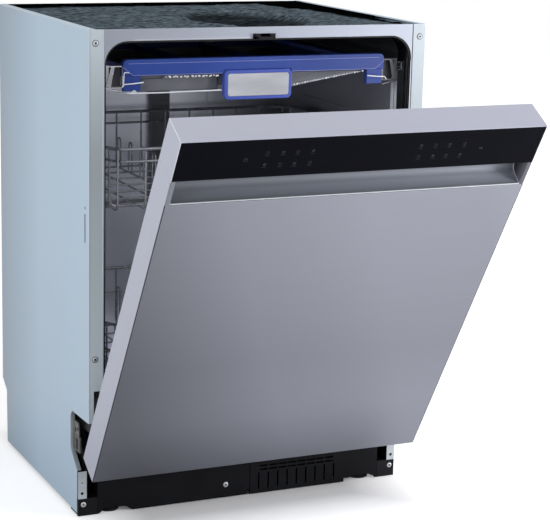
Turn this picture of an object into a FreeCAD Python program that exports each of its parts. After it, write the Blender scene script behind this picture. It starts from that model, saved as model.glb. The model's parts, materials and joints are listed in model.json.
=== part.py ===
"""Built-in dishwasher, 60 cm class, as an assembly of separate pieces.

Frame: X to the right, Y to the back, Z up, in millimetres. The origin lies on the
floor, on the centre line, in the plane of the cabinet's front flanges. The door
group is drawn shut and then swung about its hinge pins to its rest angle.
"""
import FreeCAD, Part
import os
import re
import Sketcher
from FreeCAD import Placement, Rotation, Vector

# Driving sizes: word, value and what it is. Lengths in mm, angles in degrees.
SIZES = [
    # cabinet
    ("width", 598, "overall width over the side sheets"),
    ("height", 820, "floor to the top of the front frame"),
    ("side_depth", 500, "front flange to the rear edge of a side sheet"),
    ("ledge_depth", 16, "rear ledge behind the side sheets"),
    ("sheet", 1, "sheet steel of the cabinet, tub and door"),
    ("flange", 24, "width of a side sheet's front flange"),
    ("top_flange", 12, "width of a side sheet's top flange"),
    ("rear_flange", 18, "width of a side sheet's rear flange"),
    ("sheet_low", 5, "lower edge of a side sheet above the floor"),
    ("sheet_setback", 60, "front edge of a side sheet beside the plinth"),
    ("notch_top", 179, "upper edge of the hinge notch"),
    ("notch_high", 167, "height where the notch's rear edge begins"),
    ("notch_low", 109, "height where the notch's rear edge ends"),
    ("notch_foot", 80, "lower corner of the hinge notch"),
    ("notch_depth", 94, "depth of the hinge notch"),
    ("step_top", 122, "top of the rear corner step"),
    ("step_low", 104, "foot of the rear corner step"),
    ("step_depth", 26, "depth of the rear corner step"),
    ("slot_side", 9, "outer margin of the flange slot"),
    ("slot_width", 12, "width of the flange slot"),
    ("slot_low", 187, "lower end of the flange slot"),
    ("slot_length", 46, "length of the flange slot"),
    ("key_y", 19, "keyhole line behind the front"),
    ("key_z", 534.5, "height of the round key hole"),
    ("key_radius", 2.5, "radius of the key hole and half the slot's width"),
    ("key_slot", 47, "length of the key slot"),
    ("key_land", 7.5, "web between key hole and key slot"),
    # tub
    ("wall_gap", 26, "tub wall inside the overall width"),
    ("tub_floor", 182, "upper face of the tub floor"),
    ("tub_drop", 19, "tub ceiling below the top of the front frame"),
    ("rear_gap", 21, "tub's rear wall in front of the side sheets' rear edge"),
    ("tub_corner", 38, "inner radius of the tub's upper corners"),
    ("tub_crease", 6, "inner radius of the tub's lower corners"),
    ("frame_drop", 4, "front frame below the tub floor"),
    ("gasket_thick", 3, "thickness of the door gasket"),
    ("gasket_front", 2, "gasket behind the front plane"),
    ("gasket_depth", 24, "depth of the door gasket"),
    ("gasket_low", 12, "gasket ends above the tub floor"),
    ("mat_gap", 3, "top mat below the top flanges"),
    ("pad_thick", 12, "thickness of the side pads"),
    ("pad_front", 20, "front edge of the side pads"),
    ("pad_rear", 30, "side pads in front of the side sheets' rear edge"),
    ("pad_low", 190, "lower edge of the side pads"),
    ("pad_drop", 3, "side pads below the tub's upper corners"),
    # base and plinth
    ("base_low", 6, "underside of the base tray"),
    ("base_wall", 3, "wall of the base tray"),
    ("base_front", 96, "front face of the base tray"),
    ("base_rear", 33, "base tray in front of the side sheets' rear edge"),
    ("tongue_inset", 34, "base tray's front tongue inside the overall width"),
    ("tongue_front", 68, "front face of the base tray's tongue"),
    ("plinth_front", 53, "plinth face behind the cabinet front"),
    ("plinth_thick", 3, "wall of the plinth panel"),
    ("plinth_low", 1, "lower edge of the plinth panel"),
    ("plinth_top", 100, "upper edge of the plinth panel"),
    ("plinth_gap", 0.3, "plinth panel to the end blocks"),
    ("notch_width", 36, "width of the notches in the plinth panel's lower edge"),
    ("notch_slope", 16, "width of a notch's sloping side"),
    ("notch_inset", 10, "notches from the plinth panel's ends"),
    ("notch_rise", 8, "height of those notches"),
    ("seam_width", 5, "gap in the lower edge beside the grille"),
    ("vent_left", 15, "left edge of the plinth grille"),
    ("vent_right", 198, "right edge of the plinth grille"),
    ("vent_top", 58, "upper edge of the plinth grille"),
    ("vent_proud", 1, "grille in front of the plinth face"),
    ("vent_band", 20, "solid band above the grille slots"),
    ("vent_sill", 7, "solid band below the grille slots"),
    ("vent_pitch", 18.2, "pitch of the grille slots"),
    ("vent_slot", 3, "width of a grille slot"),
    ("vent_inset", 15, "outer slots from the grille's ends"),
    ("louvre_low", 42, "lower louvre of the grille"),
    ("louvre_high", 49, "upper louvre of the grille"),
    ("louvre_rise", 3, "height of a louvre"),
    ("block_low", 1, "underside of the end blocks"),
    ("block_top", 31, "top of the end blocks"),
    ("foot_inset", 61, "front feet inside the overall width"),
    ("foot_y", 77, "front feet behind the cabinet front"),
    ("foot_rear", 37, "rear foot in front of the base tray's rear face"),
    ("foot_radius", 18, "radius of a foot's pad"),
    ("stem_radius", 5, "radius of a foot's stem"),
    ("stem_top", 58, "top of a foot's stem"),
    ("boss_radius", 10, "radius of the bosses that hold the feet"),
    ("boss_top", 40, "top of those bosses"),
    # screws
    ("screw_radius", 2, "shank radius of the screws"),
    ("head_radius", 4.5, "head radius of the screws"),
    ("head_thick", 1.5, "head height of the screws"),
    ("screw_length", 6, "shank length of the screws"),
    ("flange_screw_inset", 11, "flange screws inside the overall width"),
    ("flange_screw_drop", 2.3, "upper flange screws below the tub ceiling"),
    ("flange_screw_low", 287, "height of the lower flange screws"),
    ("plinth_screw_x", -31, "plinth screw from the centre line"),
    ("plinth_screw_z", 24, "height of the plinth screw"),
    ("block_screw_inset", 9, "end block screws inside the overall width"),
    ("block_screw_z", 21, "height of the end block screws"),
    # hinge
    ("hinge_y", -14.3, "hinge axis behind the cabinet front"),
    ("hinge_z", 162, "hinge axis above the floor"),
    ("pin_radius", 4, "radius of the hinge pins"),
    ("bracket_inset", 15, "inner face of a hinge bracket inside the overall width"),
    ("bracket_thick", 2, "sheet of a hinge bracket"),
    ("bracket_half", 10, "half height of a bracket's arm"),
    ("bracket_leg", 68, "front edge of a bracket's leg"),
    ("bracket_foot", 84, "top of a bracket's foot"),
    ("strip_thick", 1.5, "front strip of a hinge bracket"),
    ("strip_top", 79, "top of the front strip"),
    ("strip_hole_inset", 7, "strip holes inside the overall width"),
    ("strip_hole_z", 40.6, "height of the strip's fixing hole"),
    ("strip_hole", 2.5, "radius of the strip's fixing hole"),
    ("strip_mark_z", 59, "height of the strip's small hole"),
    ("strip_mark", 1.2, "radius of the strip's small hole"),
    ("arm_thick", 3, "thickness of a hinge arm"),
    ("arm_front", -26, "front edge of a hinge arm, door shut"),
    ("arm_back", -5, "rear edge of a hinge arm, door shut"),
    ("arm_low", 150, "lower end of a hinge arm, door shut"),
    ("arm_top", 420, "upper end of a hinge arm, door shut"),
    ("spring_inset", 15, "door springs inside the overall width"),
    ("spring_z", 60, "height of the door springs"),
    ("spring_radius", 8, "outer radius of a door spring"),
    ("spring_front", 150, "front end of a spring's coil"),
    ("spring_rear", 137, "rear end of a spring's coil before the base's rear face"),
    ("hook_radius", 1.5, "radius of a spring's end rods"),
    # door
    ("door_angle", 31.2, "opening of the door at rest"),
    ("door_inset", 1, "door's side inside the overall width"),
    ("door_gap", 2.5, "shut door to the cabinet front"),
    ("door_thick", 54, "thickness of the door"),
    ("door_low", 96, "lower edge of the shut door"),
    ("door_head", 2, "upper edge of the shut door below the front frame's top"),
    ("grip_height", 45, "height of the grip recess"),
    ("hem_depth", 24, "depth of the outer panel's lower hem"),
    ("wall_flange_low", 260, "lower end of the side walls' rear flange"),
    ("cap_height", 73, "height of the door's top cap"),
    ("cap_wall", 2, "rear wall of the top cap"),
    ("cap_skin", 1.2, "top skin of the top cap"),
    ("glass_thick", 4, "thickness of the control glass"),
    ("glass_rise", 1, "control glass above the cap's lower edge"),
    ("grip_inset", 8, "end wall of the grip recess inside the door's width"),
    ("grip_skin", 1.5, "skin of the grip recess"),
    ("grip_depth", 30, "depth of the grip recess"),
    ("grip_lip", 2.5, "height of the grip recess's front lip"),
    ("grip_run", 23, "depth of the recess's sloping sill"),
    ("grip_rise", 5.5, "rise of the recess's sloping sill"),
    ("grip_bevel_low", 8, "height of the lower bevel in the recess"),
    ("grip_bevel_high", 8, "height of the upper bevel in the recess"),
    ("liner_inset", 21, "inner liner's side inside the door's side"),
    ("liner_low", 176, "lower edge of the inner liner"),
    ("liner_depth", 21.5, "depth of the inner liner's rim"),
    ("core_inset", 5, "damping pad's side inside the liner's side"),
    ("core_low", 200, "lower edge of the damping pad"),
    ("core_drop", 11, "damping pad below the outer panel's upper edge"),
    ("core_thick", 25.5, "thickness of the damping pad"),
    ("board_inset", 108, "control board's end inside the door's side"),
    ("board_rise", 11, "control board above the cap's lower edge"),
    ("board_drop", 10, "control board below the cap's top"),
    ("board_thick", 1.6, "thickness of the control board"),
    ("latch_width", 60, "width of the door latch"),
    ("latch_drop", 10, "door latch below the striker"),
    ("latch_front", -34, "front face of the door latch"),
    ("latch_back", -11, "rear face of the door latch"),
    ("striker_width", 40, "width of the latch striker"),
    ("striker_lap", 1, "striker below the tub ceiling"),
    ("striker_height", 9, "height of the latch striker"),
    ("striker_plate", 1.5, "plate of the latch striker"),
    ("striker_reach", 9, "hook of the latch striker before the front plane"),
    ("striker_hook", 28, "width of the striker's hook"),
    ("striker_lug", 9, "width of a striker lug"),
    ("slot_play", 4, "play around the striker in the top cap"),
    ("seal_inset", 12, "lower seal's end inside the liner's side"),
    ("seal_low", 177, "lower edge of the lower seal"),
    ("seal_top", 186, "upper edge of the lower seal"),
    ("seal_thick", 2, "thickness of the lower seal"),
    # dispenser
    ("disp_left", -100, "left face of the dispenser"),
    ("disp_right", 70, "right face of the dispenser"),
    ("disp_low", 430, "lower face of the dispenser, door shut"),
    ("disp_top", 545, "upper face of the dispenser, door shut"),
    ("disp_proud", 4, "dispenser behind the liner's face"),
    ("disp_depth", 25.3, "dispenser inside the liner"),
    ("cup_left", -88, "left wall of the detergent cup"),
    ("cup_right", -22, "right wall of the detergent cup"),
    ("cup_low", 442, "lower wall of the detergent cup"),
    ("cup_top", 533, "upper wall of the detergent cup"),
    ("cup_depth", 19.5, "depth of the detergent cup"),
    ("lid_lap", 4, "lid beyond the cup on each side"),
    ("lid_thick", 2.5, "thickness of the dispenser lid"),
    ("guide_width", 3.7, "width of a lid guide"),
    ("rinse_x", 35, "rinse-aid cap from the centre line"),
    ("rinse_z", 500, "rinse-aid cap's height, door shut"),
    ("rinse_radius", 15, "radius of the rinse-aid cap"),
    ("rinse_bore", 12, "radius of the rinse-aid filler"),
    ("rinse_plug", 10, "length of the rinse-aid cap's plug"),
    ("rinse_disc", 4.2, "thickness of the rinse-aid cap"),
    ("rinse_grip", 2, "height of the rinse-aid cap's grip"),
    # fits
    ("play", 0.3, "gap between pieces that move past each other"),
    ("running", 0.05, "radial clearance of a running fit"),
    ("slide_play", 0.5, "gap of a sliding runner in its rail"),
    # water side
    ("centre_rear", 239, "spray arm axis before the tub's rear wall"),
    ("sump_radius", 100, "outer radius of the sump"),
    ("sump_wall", 3, "wall of the sump"),
    ("sump_rim", 112, "radius of the sump's rim under the tub floor"),
    ("sump_rim_thick", 4, "thickness of the sump's rim"),
    ("sump_low", 104, "underside of the sump"),
    ("plate_top", 178, "upper face of the filter plate"),
    ("plate_thick", 2, "thickness of the filter plate"),
    ("post_radius", 11, "radius of the lower arm's post"),
    ("post_shoulder", 199.7, "shoulder of the lower arm's post"),
    ("post_pin", 8, "radius of the post's pin"),
    ("post_top", 208, "top of the post's pin"),
    ("filter_x", 40, "filter from the centre line"),
    ("filter_back", 30, "filter behind the spray arm axis"),
    ("filter_hole", 32, "radius of the filter plate's hole"),
    ("filter_flange", 35.5, "radius of the filter's flange"),
    ("filter_low", 128, "lower end of the filter"),
    ("filter_rim", 3, "thickness of the filter's flange"),
    ("filter_grip", 13, "height of the filter's grip"),
    ("pump_radius", 40, "radius of the circulation pump"),
    ("pump_inset", 43, "left end of the circulation pump inside the tub wall"),
    ("pump_right", -60, "right end of the circulation pump"),
    ("pump_port", 12, "radius of the pump's port"),
    ("pump_port_inset", 20, "pump port from the pump's right end"),
    ("drain_radius", 24, "radius of the drain pump"),
    ("drain_gap", 14, "drain pump beside the sump's rim"),
    ("drain_length", 70, "length of the drain pump"),
    ("drain_rear", 17, "rear face of the drain pump before the base's rear face"),
    ("spigot_radius", 9.5, "radius of the drain spigot"),
    ("neck_step", 1.2, "necks inside the wall thinner than their spigots"),
    ("collar", 2, "necks behind the base tray before the spigots"),
    ("spigot_out", 20, "spigots' ends behind the base tray"),
    ("spigot_play", 0.3, "play around the spigots in the base tray"),
    ("inlet_inset", 49, "inlet valve inside the overall width"),
    ("inlet_z", 60, "height of the inlet valve"),
    ("inlet_half", 20, "half width of the inlet valve"),
    ("inlet_length", 44, "length of the inlet valve"),
    ("thread_radius", 13.2, "radius of the inlet thread"),
    ("socket_inset", 49, "power inlet inside the overall width"),
    ("socket_width", 30, "width of the power inlet"),
    ("socket_height", 26, "height of the power inlet"),
    ("socket_depth", 18, "power inlet behind the base tray"),
    ("socket_wall", 2.5, "wall of the power inlet"),
    ("soft_width", 98, "width of the water softener"),
    ("soft_inset", 31, "right face of the water softener inside the overall width"),
    ("soft_front", 120, "front face of the water softener"),
    ("soft_length", 210, "length of the water softener"),
    ("soft_top", 160, "top of the water softener"),
    ("neck_side", 2, "filler neck inside the softener's left face"),
    ("neck_front", 12, "filler neck behind the softener's front face"),
    ("neck_radius", 28, "radius of the salt filler's neck"),
    ("neck_top", 186, "top of the salt filler's neck"),
    ("salt_radius", 34, "radius of the salt cap"),
    ("salt_disc", 8.7, "thickness of the salt cap"),
    ("salt_grip", 2.5, "height of the salt cap's grip"),
    ("break_front", 150, "front face of the air break"),
    ("break_back", 340, "rear face of the air break"),
    ("break_low", 300, "lower face of the air break"),
    ("break_top", 560, "upper face of the air break"),
    # water pipes and spray arms
    ("duct_half", 18, "half width of the rear duct"),
    ("duct_depth", 14, "depth of the rear duct"),
    ("roof_half", 14, "half width of the ceiling duct"),
    ("roof_thick", 10, "thickness of the ceiling duct"),
    ("hub_radius", 12, "radius of the feed hubs"),
    ("hub_thick", 5, "thickness of the ceiling hub"),
    ("arm_pin", 6, "radius of the pins that carry the hanging arms"),
    ("arm_pin_length", 10, "length of those pins"),
    ("arm_hub", 16, "hub radius of the hanging spray arms"),
    ("arm_hub_thick", 13, "hub thickness of the hanging spray arms"),
    ("lower_hub", 20, "hub radius of the lower spray arm"),
    ("lower_hub_thick", 14, "hub thickness of the lower spray arm"),
    ("blade_thick", 7, "thickness of a spray arm's blades"),
    ("blade_lift", 3, "blades above the underside of the hub"),
    ("lower_blade", 22, "half width of the lower arm's blades"),
    ("arm_side", 25, "lower spray arm's ends inside the basket's rim"),
    ("arm_rear", 3, "lower spray arm's ends before the rear duct"),
    ("upper_blade", 16, "half width of the upper arm's blades"),
    ("upper_side", 50, "upper spray arm's ends inside the basket's rim"),
    ("upper_rear", 30, "upper spray arm's ends before the rear duct"),
    ("ceiling_blade", 14, "half width of the ceiling arm's blades"),
    ("ceiling_side", 93, "ceiling spray arm's ends inside the tub wall"),
    ("ceiling_rear", 45, "ceiling spray arm's ends before the rear duct"),
    # rails
    ("rail_front", 30, "front end of the rails"),
    ("rail_rear", 9, "rear end of the rails before the tub's rear wall"),
    ("rail_web", 2, "web and flanges of the rails"),
    ("rail_reach", 14, "rails inwards from the tub wall"),
    ("roller_drop", 41, "upper basket's rollers below its rim"),
    ("roller_radius", 9.7, "radius of the upper basket's rollers"),
    # cutlery tray
    ("tray_side", 28, "tray's frame inside the tub wall"),
    ("tray_front", 36, "front of the tray's frame"),
    ("tray_rear", 30, "tray's frame before the rails' rear end"),
    ("tray_drop", 60, "underside of the tray's frame below the tub ceiling"),
    ("tray_thick", 10, "height of the tray's frame"),
    ("tray_rib", 8, "width of the tray's frame"),
    ("runner_front", 60, "front end of the tray's runners"),
    ("runner_rear", 10, "runners before the tray's rear edge"),
    ("runner_gap", 1.8, "tray's runners inside their rails' webs"),
    ("rib_side", 42, "outer tray ribs inside the tray's frame"),
    ("rib_inner", 65, "inner tray ribs from the centre line"),
    ("rib_width", 6, "width of the tray's ribs"),
    ("skin", 2, "skin of the tray's troughs"),
    ("trough_front", 40, "front of the troughs"),
    ("trough_rear", 10, "rear of the troughs before the tray's rear edge"),
    ("trough_drop", 26, "depth of the side troughs"),
    ("middle_drop", 19, "depth of the middle trough"),
    ("bar_side", 11, "front bar inside the tray's frame"),
    ("bar_front", 24, "front face of the tray's front bar"),
    ("bar_rise", 2, "front bar above the tray's underside"),
    ("bar_height", 26, "height of the tray's front bar"),
    ("bar_round", 8, "corner radius of the front bar"),
    ("tab_width", 29, "width of a bar's end tab"),
    ("tab_side", 2, "end tab inside the front bar's end"),
    ("tab_drop", 25, "length of a bar's end tab"),
    ("tab_setback", 2, "end tabs behind the bar's face"),
    ("handle_half", 60, "half width of the tray's handle"),
    ("handle_height", 48, "height of the tray's handle"),
    ("handle_lap", 5, "tray's handle above the front bar's lower edge"),
    ("handle_proud", 5, "handle in front of the bar"),
    ("handle_thick", 12, "thickness of the tray's handle"),
    ("insert_margin", 5.5, "handle rim around its insert"),
    ("insert_depth", 9, "pocket of the handle's insert"),
    ("insert_proud", 1, "insert in front of the rim"),
    # upper basket
    ("basket_side", 23, "baskets' rims inside the tub wall"),
    ("basket_front", 25, "front rim of the upper basket"),
    ("basket_rear", 34, "baskets' rear rims before the tub's rear wall"),
    ("rim_drop", 91, "upper basket's rim below the tray's troughs"),
    ("second_drop", 20, "upper basket's second rail below its rim"),
    ("basket_depth", 95, "upper basket's rim to the top of its floor wires"),
    ("rim_wire", 2.75, "radius of the rim wire"),
    ("rail_wire", 2, "radius of the second rail's wire"),
    ("wire", 1.75, "radius of the basket wires"),
    ("tine_wire", 1.5, "radius of the tines"),
    ("wire_margin", 30, "first upright from the rim's corner"),
    ("wire_pitch", 60, "pitch of the side uprights"),
    ("front_margin", 5.5, "outermost front upright from the side uprights"),
    ("front_pitch", 48, "pitch of the front and rear uprights"),
    ("long_pitch", 100, "pitch of the lengthwise floor wires"),
    ("tine_height", 52, "height of the upper basket's tines"),
    ("tine_x", 100, "tine rows from the centre line"),
    ("bracket_plate", 2.25, "thickness of the roller brackets"),
    ("roller_pitch", 75, "front rollers to rear rollers"),
    ("roller_rear", 20, "rear rollers before the basket's rear rim"),
    ("bracket_margin", 15, "roller bracket beyond its rollers"),
    ("bracket_drop", 15, "roller brackets below their rollers' axes"),
    ("axle_radius", 3, "radius of the roller and wheel axles"),
    ("axle_gap", 4, "outer end of the axles inside the tub wall"),
    ("roller_width", 9, "width of the upper basket's rollers"),
    ("pipe_radius", 9, "radius of the upper basket's feed pipe"),
    ("pipe_shift", 5, "upper spray arm's axis before the lower one's"),
    # cup shelf
    ("shelf_inset", 5.5, "cup shelf's hinge inside the side uprights"),
    ("shelf_drop", 4, "cup shelf's hinge below the second rail"),
    ("shelf_width", 90, "width of the cup shelf"),
    ("shelf_thick", 3, "thickness of the cup shelf"),
    ("shelf_pin", 1.2, "radius of the cup shelf's pins"),
    ("shelf_pin_length", 12, "length of the cup shelf's pins"),
    ("clip_length", 8, "length of a shelf clip"),
    ("clip_half", 4, "half height of a shelf clip"),
    ("shelf_slots", 5, "slots across the cup shelf"),
    ("shelf_bar", 8, "bars between the cup shelf's slots"),
    # lower basket
    ("lower_front", 35, "front rim of the lower basket"),
    ("lower_depth", 100, "lower basket's floor wires to its rim"),
    ("lower_drop", 45, "lower basket's second rail below its rim"),
    ("lower_lift", 48, "lower basket's floor wires above the tub floor"),
    ("lower_tine", 70, "height of the lower basket's tines"),
    ("wheel_radius", 16, "radius of the lower basket's wheels"),
    ("wheel_lead", 40, "front wheels behind the lower basket's front rim"),
    ("wheel_trail", 40, "rear wheels before the lower basket's rear rim"),
    ("wheel_width", 9.5, "width of the wheels"),
    ("wheel_gap", 7, "outer face of the wheels inside the tub wall"),
    ("strut_half", 8, "half width of a wheel bracket"),
]

# Places worked out from the sizes.
PLACES = [
    ("half", "width / 2"),
    ("skin_in", "half - sheet"),
    ("tub_half", "half - wall_gap"),
    ("tub_out", "tub_half + sheet"),
    ("tub_depth", "side_depth - rear_gap"),
    ("tub_top", "height - tub_drop"),
    ("door_half", "half - door_inset"),
    ("door_back", "0 - door_gap"),
    ("door_front", "door_back - door_thick"),
    ("panel_back", "door_front + sheet"),
    ("wall_in", "door_half - sheet"),
    ("glass_back", "door_front + glass_thick"),
    ("door_top", "height - door_head"),
    ("cap_top_in", "door_top - cap_skin"),
    ("liner_half", "door_half - liner_inset"),
    ("liner_front", "door_back - liner_depth"),
    ("disp_face", "door_back + disp_proud"),
    ("lid_face", "disp_face + play"),
    ("base_floor", "base_low + base_wall"),
    ("tub_under", "tub_floor - sheet"),
    ("tongue_half", "half - tongue_inset"),
    ("plinth_back", "plinth_front + plinth_thick"),
    ("pin_end", "liner_half + play"),
    ("roof_low", "tub_top - roof_thick"),
    ("roof_hub_low", "roof_low - hub_thick"),
    ("duct_front", "tub_depth - duct_depth"),
    ("pump_z", "base_floor + pump_radius"),
    ("drain_z", "base_floor + drain_radius"),
    ("rail_in", "tub_half - rail_reach"),
    ("tray_low", "tub_top - tray_drop"),
    ("tray_top", "tray_low + tray_thick"),
    ("upright", "rim_wire + wire"),
    ("basket_half", "tub_half - basket_side"),
    ("side_wire", "basket_half - upright"),
    ("trough_low", "tray_low - trough_drop"),
    ("rim_z", "trough_low - rim_drop"),
    ("floor_z", "rim_z - basket_depth"),
    ("floor_wire_z", "floor_z - wire"),
    ("long_wire_z", "floor_wire_z - 2 * wire"),
    ("pipe_z", "long_wire_z - wire - pipe_radius"),
    ("pipe_hub_low", "pipe_z - hub_radius"),
    ("lower_floor_z", "tub_floor + lower_lift"),
    ("lower_wire_z", "lower_floor_z - wire"),
    ("lower_long_z", "lower_wire_z - 2 * wire"),
    ("wheel_z", "tub_floor + play + wheel_radius"),
    ("plate_in", "basket_half + rim_wire"),
    ("plate_out", "plate_in + bracket_plate"),
    ("insert_half", "handle_half - insert_margin"),
    ("handle_front", "bar_front - handle_proud"),
    ("swing_y", "hinge_y - (hinge_y * cos(door_angle) - hinge_z * sin(door_angle))"),
    ("swing_z", "hinge_z - (hinge_y * sin(door_angle) + hinge_z * cos(door_angle))"),
    ("core_half", "liner_half - core_inset"),
    ("board_half", "door_half - board_inset"),
    ("seal_half", "liner_half - seal_inset"),
    ("pad_back", "side_depth - pad_rear"),
    ("pad_top", "tub_top - tub_corner - pad_drop"),
    ("base_back", "side_depth - base_rear"),
    ("foot_x", "half - foot_inset"),
    ("rear_foot_y", "base_back - foot_rear"),
    ("flange_screw_x", "half - flange_screw_inset"),
    ("flange_screw_high", "tub_top - flange_screw_drop"),
    ("block_screw_x", "half - block_screw_inset"),
    ("bracket_x", "half - bracket_inset"),
    ("strip_hole_x", "half - strip_hole_inset"),
    ("spring_x", "half - spring_inset"),
    ("spring_back", "base_back - spring_rear"),
    ("cap_low", "door_top - cap_height"),
    ("glass_low", "cap_low + glass_rise"),
    ("panel_top", "glass_low - grip_height"),
    ("grip_end", "door_half - grip_inset"),
    ("core_top", "panel_top - core_drop"),
    ("board_low", "cap_low + board_rise"),
    ("board_top", "door_top - board_drop"),
    ("striker_low", "tub_top - striker_lap"),
    ("striker_top", "striker_low + striker_height"),
    ("latch_low", "striker_low - latch_drop"),
    ("centre_y", "tub_depth - centre_rear"),
    ("filter_y", "centre_y + filter_back"),
    ("pump_left", "-(tub_half - pump_inset)"),
    ("pump_port_x", "pump_right - pump_port_inset"),
    ("drain_x", "sump_rim + drain_gap + drain_radius"),
    ("drain_back", "base_back - drain_rear"),
    ("drain_front", "drain_back - drain_length"),
    ("inlet_x", "-(half - inlet_inset)"),
    ("socket_x", "half - socket_inset"),
    ("soft_right", "half - soft_inset"),
    ("soft_left", "soft_right - soft_width"),
    ("soft_back", "soft_front + soft_length"),
    ("salt_x", "soft_left + neck_radius + neck_side"),
    ("salt_y", "soft_front + neck_radius + neck_front"),
    ("lower_reach", "min(basket_half - arm_side; duct_front - centre_y - arm_rear) - lower_blade"),
    ("pipe_axis_y", "centre_y - pipe_shift"),
    ("upper_reach", "min(basket_half - upper_side; duct_front - pipe_axis_y - upper_rear) - upper_blade"),
    ("ceiling_reach", "min(tub_half - ceiling_side; duct_front - centre_y - ceiling_rear) - ceiling_blade"),
    ("rail_back", "tub_depth - rail_rear"),
    ("tray_half", "tub_half - tray_side"),
    ("tray_back", "rail_back - tray_rear"),
    ("runner_back", "tray_back - runner_rear"),
    ("runner_edge", "tub_half - rail_web - runner_gap"),
    ("rib_outer", "tray_half - rib_side"),
    ("trough_back", "tray_back - trough_rear"),
    ("middle_low", "tray_low - middle_drop"),
    ("bar_half", "tray_half - bar_side"),
    ("bar_low", "tray_low + bar_rise"),
    ("bar_top", "bar_low + bar_height"),
    ("tab_outer", "bar_half - tab_side"),
    ("tab_inner", "tab_outer - tab_width"),
    ("tab_low", "bar_low - tab_drop"),
    ("handle_top", "bar_low + handle_lap"),
    ("handle_low", "handle_top - handle_height"),
    ("basket_back", "tub_depth - basket_rear"),
    ("second_z", "rim_z - second_drop"),
    ("roller_z", "rim_z - roller_drop"),
    ("bracket_low", "roller_z - bracket_drop"),
    ("roller_back", "basket_back - roller_rear"),
    ("roller_front", "roller_back - roller_pitch"),
    ("axle_end", "tub_half - axle_gap"),
    ("roller_inner", "axle_end - roller_width"),
    ("shelf_x", "-(side_wire - shelf_inset)"),
    ("shelf_z", "second_z - shelf_drop"),
    ("lower_rim_z", "lower_floor_z + lower_depth"),
    ("lower_second_z", "lower_rim_z - lower_drop"),
    ("wheel_front", "lower_front + wheel_lead"),
    ("wheel_back", "basket_back - wheel_trail"),
    ("wheel_outer", "tub_half - wheel_gap"),
    ("wheel_inner", "wheel_outer - wheel_width"),
]

BOTH_SIDES = (("left", -1), ("right", 1))
PLANE_AXIS = {"YZ_Plane": "x", "XZ_Plane": "y", "XY_Plane": "z"}
TURN = {
    "x": Rotation(Vector(0, 1, 0), 90),
    "y": Rotation(Vector(1, 0, 0), -90),
    "z": Rotation(),
}

doc = FreeCAD.newDocument("dishwasher")
dims = doc.addObject("Spreadsheet::Sheet", "dims")
places = doc.addObject("Spreadsheet::Sheet", "places")
owner = {}
nodes = []


def full(text):
    """The expression with each word led by the sheet that holds it."""
    def lead(match):
        word = match.group(0)
        return owner[word] + "." + word if word in owner else word
    return re.sub(r"[a-z][a-z_]*", lead, str(text))


def number(text):
    """The present value of an expression."""
    return float(dims.evalExpression(full(text)))


def fill_sheets():
    """Write the driving sizes and the places that follow from them."""
    for row, (word, value, meaning) in enumerate(SIZES, 1):
        dims.set("A%d" % row, meaning)
        dims.set("B%d" % row, str(value))
        dims.setAlias("B%d" % row, word)
        owner[word] = "dims"
    for row, (word, rule) in enumerate(PLACES, 1):
        places.set("A%d" % row, rule.replace("=", ""))
        places.set("B%d" % row, "=" + full(rule))
        places.setAlias("B%d" % row, word)
        owner[word] = "places"
    doc.recompute()


# Building blocks: each size is an expression on the sheets.

def mirrored(sign, near, far):
    """The span from near to far off the centre line, on the left or on the right."""
    if sign > 0:
        return near, far
    return "-(%s)" % far, "-(%s)" % near


def both(reach):
    """The span to both sides of the centre line."""
    return "-(%s)" % reach, reach


def box(name, x, y, z):
    """A block between two planes on each axis."""
    block = doc.addObject("Part::Box", name)
    for size, axis, (low, high) in (("Length", "x", x), ("Width", "y", y), ("Height", "z", z)):
        block.setExpression(size, full("(%s) - (%s)" % (high, low)))
        block.setExpression(".Placement.Base." + axis, full(low))
    return block


def rod(name, axis, radius, span, **centre):
    """A round bar along an axis."""
    bar = doc.addObject("Part::Cylinder", name)
    bar.Placement = Placement(Vector(), TURN[axis])
    bar.setExpression("Radius", full(radius))
    bar.setExpression("Height", full("(%s) - (%s)" % (span[1], span[0])))
    centre[axis] = span[0]
    for letter, place in centre.items():
        bar.setExpression(".Placement.Base." + letter, full(place))
    return bar


def draw(sketch, outline):
    """A closed outline whose every corner is tied to the sheets."""
    corners = [Vector(number(u), number(v), 0) for u, v in outline]
    count = len(corners)
    for index in range(count):
        line = Part.LineSegment(corners[index], corners[(index + 1) % count])
        sketch.addGeometry(line, False)
    for index in range(count):
        sketch.addConstraint(Sketcher.Constraint("Coincident", index, 2, (index + 1) % count, 1))
    for index, corner in enumerate(outline):
        for kind, place in zip(("DistanceX", "DistanceY"), corner):
            rule = Sketcher.Constraint(kind, -1, 1, index, 1, number(place))
            sketch.setExpression("Constraints[%d]" % sketch.addConstraint(rule), full(place))


def slab(name, plane, outline, span):
    """A body padded from an outline on one of the frame's planes."""
    body = doc.addObject("PartDesign::Body", name)
    sketch = body.newObject("Sketcher::SketchObject", name + "_outline")
    base = [item for item in body.Origin.OriginFeatures if item.Role == plane][0]
    sketch.AttachmentSupport = (base, [""])
    sketch.MapMode = "FlatFace"
    low, high = span
    start = "-(%s)" % high if plane == "XZ_Plane" else low
    sketch.setExpression(".AttachmentOffset.Base.z", full(start))
    draw(sketch, outline)
    pad = body.newObject("PartDesign::Pad", name + "_pad")
    pad.Profile = sketch
    pad.setExpression("Length", full("(%s) - (%s)" % (high, low)))
    return body


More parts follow.
